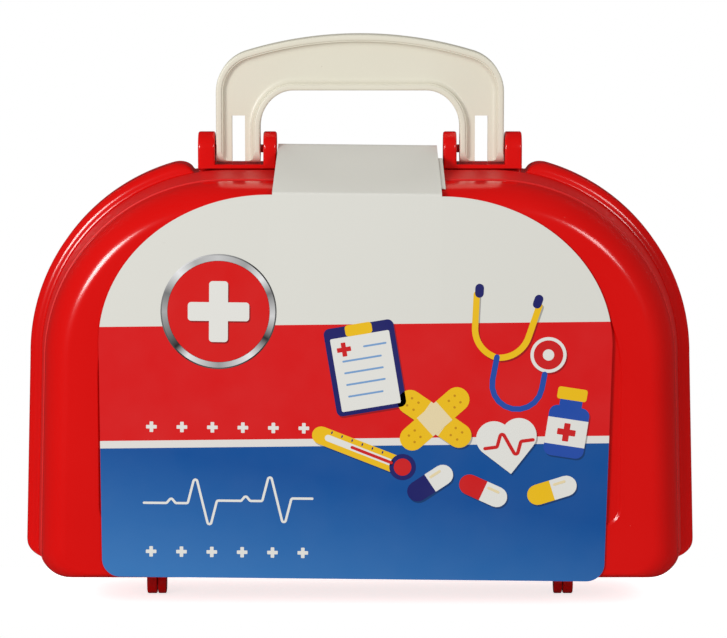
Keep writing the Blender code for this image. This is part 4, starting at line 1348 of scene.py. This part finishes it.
walls_tree, start, end = new_group("slid_walls", [("Place", None)], ["Mask"])
split = node(walls_tree, "SeparateXYZ", {"Vector": start["Place"]})
away = maths(walls_tree, "ABSOLUTE", split.outputs["Y"])
past_bead = node(walls_tree, "MapRange", {"Value": away, "From Min": BESIDE_BEAD,
                                          "From Max": BESIDE_BEAD + WALL_EASE})
before_step = node(walls_tree, "MapRange", {"Value": away, "From Min": STEP_DEPTH + WALL_EASE,
                                            "From Max": STEP_DEPTH})
walls_tree.links.new(maths(walls_tree, "MULTIPLY", past_bead.outputs[0], before_step.outputs[0]), end["Mask"])

# %% [markdown]
# ## Moulded plastic
#
# The shells are glossy, dyed right through: no paint, so an edge never shows another colour.
# What tells such plastic from a flat red is its clear reflections, which waver because the skin
# is never quite even, with a few dust specks and hair scratches. The cream handle is the same
# stuff with a duller mould finish.

# %% Colours, a new finish, and the plastic's nodes
def shade_mix(tree, low, high, share):
    """Two colours mixed by a value; low and high may be colours or sockets."""
    return node(tree, "Mix", {"Factor": share, 6: low, 7: high}, data_type="RGBA").outputs[2]


def colour(red, green, blue):
    """A screen colour from 0 to 255 as the shader's own linear numbers."""
    def level(value):
        share = value / 255
        return share / 12.92 if share <= 0.04045 else ((share + 0.055) / 1.055) ** 2.4
    return (level(red), level(green), level(blue), 1.0)


def new_finish(name):
    """A material, its tree, its shader and the place on the piece."""
    finish = bpy.data.materials.new(name)
    finish.use_nodes = True
    tree = finish.node_tree
    shader = tree.nodes["Principled BSDF"]
    print("finish", name)
    place = node(tree, "TexCoord").outputs["Object"]
    return finish, tree, shader, place


def plastic(name, dark, light, dust, roughness, wave, speck_share, wall_dull):
    """Roughness grows with the drift, on hairs, on the walls beside the bead and on dust."""
    finish, tree, shader, place = new_finish(name)
    waves = place_group(tree, waves_tree, {"Place": place, "Size": WAVE_SIZE})
    specks = place_group(tree, specks_tree, {"Place": place, "Share": speck_share})
    hairs = place_group(tree, scratch_tree, {"Place": place, "Amount": HAIR_AMOUNT})
    body = shade_mix(tree, dark, light, waves["Drift"])
    tree.links.new(shade_mix(tree, body, dust, specks["Mask"]), shader.inputs["Base Color"])
    rough = node(tree, "MapRange", {"Value": waves["Drift"], "From Min": 0.3, "From Max": 0.7,
                                    "To Min": roughness, "To Max": roughness * 1.25}).outputs[0]
    rough = maths(tree, "MULTIPLY_ADD", hairs["Mask"], HAIR_DULL, rough)
    walls = place_group(tree, walls_tree, {"Place": place})
    rough = maths(tree, "MULTIPLY_ADD", walls["Mask"], wall_dull, rough)
    rough = maths(tree, "MULTIPLY_ADD", specks["Mask"], DUST_DULL, rough)
    tree.links.new(rough, shader.inputs["Roughness"])
    bump = node(tree, "Bump", {"Height": waves["Height"], "Strength": 1.0, "Distance": wave})
    tree.links.new(bump.outputs[0], shader.inputs["Normal"])
    return finish


# %% Mix the two plastics
WAVE_SIZE = 0.045
HAIR_AMOUNT, HAIR_DULL, DUST_DULL = 0.2, 0.08, 0.4

red_plastic = plastic("red_plastic", colour(213, 9, 7), colour(225, 15, 11), colour(226, 120, 112),
                      roughness=0.145, wave=0.00008, speck_share=0.08, wall_dull=0.32)
cream_plastic = plastic("cream_plastic", colour(224, 219, 200), colour(231, 227, 210), colour(150, 132, 104),
                        roughness=0.33, wave=0.0001, speck_share=0.05, wall_dull=0.0)

# %% [markdown]
# ## The printed card
#
# The card is coated paper: white above, a red band, a thin stripe and a blue field that gets
# lighter towards one corner. One material paints them all: the height on the card picks a
# colour from a stepped ramp. The card hangs half a degree off level, so a Mapping node turns
# the coordinates back first. The same group colours the soft shadows under the pictures.

# %% Group: what is printed at a place on the card
ZONES = [(0.0, "blue"), (0.0715, "stripe"), (0.0750, "red"), (0.1222, "white")]
ZONE_COLOURS = {"blue": colour(12, 80, 153), "stripe": colour(226, 223, 218), "red": colour(217, 16, 18),
                "white": colour(222, 221, 213), "light_blue": colour(54, 118, 184)}
RAMP_HEIGHT = 0.2
FADE_LEAN, FADE_FROM, FADE_TO = 0.18, 0.056, 0.004

zones_tree, start, end = new_group("printed_zones", [("Place", None)], ["Color"])
level_place = node(zones_tree, "Mapping", {"Vector": start["Place"], "Rotation": (0.0, CARD_TILT, 0.0),
                                           "Location": (0.0, 0.0, -CARD_SHIFT * math.sin(CARD_TILT))})
split = node(zones_tree, "SeparateXYZ", {"Vector": level_place.outputs[0]})
ramp = node(zones_tree, "ValToRGB", {"Fac": maths(zones_tree, "DIVIDE", split.outputs["Z"], RAMP_HEIGHT)})
ramp.color_ramp.interpolation = "CONSTANT"
for number, (from_z, zone) in enumerate(ZONES):
    stops = ramp.color_ramp.elements
    stop = stops[number] if number < 2 else stops.new(from_z / RAMP_HEIGHT)
    stop.position = from_z / RAMP_HEIGHT
    stop.color = ZONE_COLOURS[zone]
slant = maths(zones_tree, "MULTIPLY_ADD", split.outputs["X"], FADE_LEAN, split.outputs["Z"])
lighter = node(zones_tree, "MapRange", {"Value": slant, "From Min": FADE_FROM, "From Max": FADE_TO})
in_blue = maths(zones_tree, "LESS_THAN", split.outputs["Z"], ZONES[1][0])
share = maths(zones_tree, "MULTIPLY", lighter.outputs[0], in_blue)
zones_tree.links.new(shade_mix(zones_tree, ramp.outputs["Color"], ZONE_COLOURS["light_blue"], share),
                     end["Color"])

# %% Card and inks
CARD_ROUGHNESS, CARD_UNEVEN = 0.3, 0.05
SHADOW_INK = (0.004, 0.006, 0.01, 1.0)
WORN_INK, WORN_SHARE = (0.9, 0.9, 0.9, 1.0), 0.015


def card_finish(name, ink=None, darken=0.0):
    """Coated paper. With no ink of its own, it shows what is printed at its place."""
    finish, tree, shader, place = new_finish(name)
    shader.inputs["Specular IOR Level"].default_value = 0.25
    grain = place_group(tree, grain_tree, {"Place": place})
    base = ink or place_group(tree, zones_tree, {"Place": place})["Color"]
    if darken:
        base = shade_mix(tree, base, SHADOW_INK, darken)
    worn = shade_mix(tree, base, WORN_INK, WORN_SHARE)
    tree.links.new(shade_mix(tree, base, worn, grain["Mottle"]), shader.inputs["Base Color"])
    rough = node(tree, "MapRange", {"Value": grain["Mottle"], "To Min": CARD_ROUGHNESS - CARD_UNEVEN,
                                    "To Max": CARD_ROUGHNESS + CARD_UNEVEN})
    tree.links.new(rough.outputs[0], shader.inputs["Roughness"])
    bump = node(tree, "Bump", {"Height": grain["Height"], "Strength": 0.1, "Distance": 0.00002})
    tree.links.new(bump.outputs[0], shader.inputs["Normal"])
    return finish


INKS = {"white": colour(228, 227, 221), "cream": colour(232, 214, 170), "yellow": colour(238, 190, 20),
        "ochre": colour(196, 140, 16), "red": colour(206, 26, 28), "emblem_red": colour(215, 18, 16),
        "emblem_shade": colour(146, 20, 18), "navy": colour(30, 32, 104), "bright_blue": colour(32, 76, 168),
        "pale_blue": colour(120, 160, 206)}
for ink, shown in INKS.items():
    print_pieces[ink].data.materials.append(card_finish("ink_" + ink, shown))
print_pieces["shade"].data.materials.append(card_finish("ink_shade", darken=0.5))
card_paper = card_finish("printed_card")
plain_paper = card_finish("card_inside", colour(214, 211, 202))

# %% [markdown]
# ### A ring that looks like metal
#
# Printed metal is bands of grey round a circle. A radial gradient gives the angle about the
# emblem's middle, from 0 to 1 starting at the left, and a ramp turns it into light and dark bands.

# %% The ring's finish
def ring_finish(name, stops):
    finish, tree, shader, place = new_finish(name)
    split = node(tree, "SeparateXYZ", {"Vector": place})
    middle = Vector((EMBLEM_X * MILLIMETRE, 0.0, EMBLEM_Z * MILLIMETRE))
    pivot = Vector((0.0, 0.0, SHOULDER_Z))
    middle = Matrix.Rotation(CARD_TILT, 3, "Y") @ (middle - pivot) + pivot + Vector((CARD_SHIFT, 0.0, 0.0))
    across = maths(tree, "SUBTRACT", split.outputs["X"], middle.x)
    up = maths(tree, "SUBTRACT", split.outputs["Z"], middle.z)
    flat = node(tree, "CombineXYZ", {"X": across, "Y": up})
    angle = node(tree, "TexGradient", {"Vector": flat.outputs[0]}, gradient_type="RADIAL")
    ramp = node(tree, "ValToRGB", {"Fac": angle.outputs["Fac"]})
    for number, (degrees, grey) in enumerate(sorted(stops)):
        elements = ramp.color_ramp.elements
        position = (degrees + 180.0) / 360.0
        stop = elements[number] if number < 2 else elements.new(position)
        stop.position = position
        stop.color = colour(grey, grey, grey)
    tree.links.new(ramp.outputs["Color"], shader.inputs["Base Color"])
    shader.inputs["Roughness"].default_value = 0.36
    return finish


BAND_STOPS = [(-180, 170), (-140, 30), (-125, 230), (-90, 155), (-55, 235), (-30, 30), (-5, 215), (20, 120),
              (37, 235), (60, 160), (90, 200), (115, 175), (135, 235), (160, 120), (180, 170)]
EDGE_STOPS = [(-180, 120), (-130, 40), (-90, 90), (-50, 40), (0, 90), (50, 20), (110, 200), (135, 235),
              (160, 130), (180, 120)]
print_pieces["ring"].data.materials.append(ring_finish("ink_ring", BAND_STOPS))
print_pieces["ring_edge"].data.materials.append(ring_finish("ink_ring_edge", EDGE_STOPS))

# %% [markdown]
# The shells, the handle and the card now get their finish. A piece's list of materials is emptied
# first, so that it has just the one.

# %% Give each piece its finish
for piece, finish in ((front_shell, red_plastic), (back_shell, red_plastic), (handle, cream_plastic),
                      (card, card_paper), (lap, plain_paper), (back_flap, plain_paper)):
    piece.data.materials.clear()
    piece.data.materials.append(finish)

# %% [markdown]
# ## Light, floor and background
#
# The gloss of the shells tells how the photograph was lit: soft boxes in front, left and right
# and a little above, with clear highlights on the shoulders, and dark between them. Two
# lamps behind light the back, and are kept out of the gloss. The lamps are as strong as it takes
# for a colour to render as it is written.

# %% Lamps
LAMP_TARGET = Vector((0.0, 0.0, 0.11))


def soft_box(name, place, size, power, in_gloss=True):
    data = bpy.data.lights.new(name, "AREA")
    data.shape = "SQUARE"
    data.size = size
    data.energy = power
    item = bpy.data.objects.new(name, data)
    item.location = place
    item.rotation_euler = (LAMP_TARGET - Vector(place)).to_track_quat("-Z", "Y").to_euler()
    item.visible_glossy = in_gloss
    bpy.context.scene.collection.objects.link(item)
    print(name, "shines with", power, "W")


soft_box("left_soft_box", (-0.91, -1.24, 0.56), 0.42, 14.0)
soft_box("right_soft_box", (0.76, -1.30, 0.685), 0.34, 4.2)
soft_box("left_back_light", (-1.0, 1.1, 0.9), 0.9, 8.0, in_gloss=False)
soft_box("right_back_light", (1.0, 1.1, 0.9), 0.9, 8.0, in_gloss=False)

# %% [markdown]
# The white around the case belongs to the world and the floor, for the camera's own rays only, so
# it doesn't wash out the colours. The floor is hardly deeper than the case, so that the front half
# can be seen when it hangs open below it.

# %% Background and floor
AMBIENT = 0.4
GLOSS_SHARE = 0.03
FLOOR_GREY = 0.88
FLOOR_GLOW = 0.75
FLOOR_HALF_WIDTH = 0.2
FLOOR_HALF_DEPTH = 0.05

world = bpy.data.worlds.new("studio")
bpy.context.scene.world = world
world.use_nodes = True
sky = world.node_tree
rays = node(sky, "LightPath").outputs
seen = maths(sky, "MAXIMUM", rays["Is Glossy Ray"], rays["Is Transmission Ray"])
base = node(sky, "MapRange", {"Value": seen, "To Min": AMBIENT, "To Max": GLOSS_SHARE})
level = maths(sky, "MAXIMUM", rays["Is Camera Ray"], base.outputs[0])
sky.links.new(level, sky.nodes["Background"].inputs["Strength"])
sky.nodes["Background"].inputs["Color"].default_value = (1.0, 1.0, 1.0, 1.0)

mesh = bmesh.new()
bmesh.ops.create_grid(mesh, x_segments=1, y_segments=1, size=1.0,
                      matrix=Matrix.Diagonal((FLOOR_HALF_WIDTH, FLOOR_HALF_DEPTH, 1.0, 1.0)))
floor = make_object("floor", mesh)
floor.visible_glossy = False
floor_finish, tree, shader, place = new_finish("pale_floor")
shader.inputs["Base Color"].default_value = (FLOOR_GREY, FLOOR_GREY, FLOOR_GREY, 1.0)
shader.inputs["Roughness"].default_value = 0.9
shader.inputs["Specular IOR Level"].default_value = 0.1
shader.inputs["Emission Color"].default_value = (1.0, 1.0, 1.0, 1.0)
glow = maths(tree, "MULTIPLY", node(tree, "LightPath").outputs["Is Camera Ray"], FLOOR_GLOW)
tree.links.new(glow, shader.inputs["Emission Strength"])
floor.data.materials.append(floor_finish)

bpy.context.scene.view_settings.view_transform = "Standard"
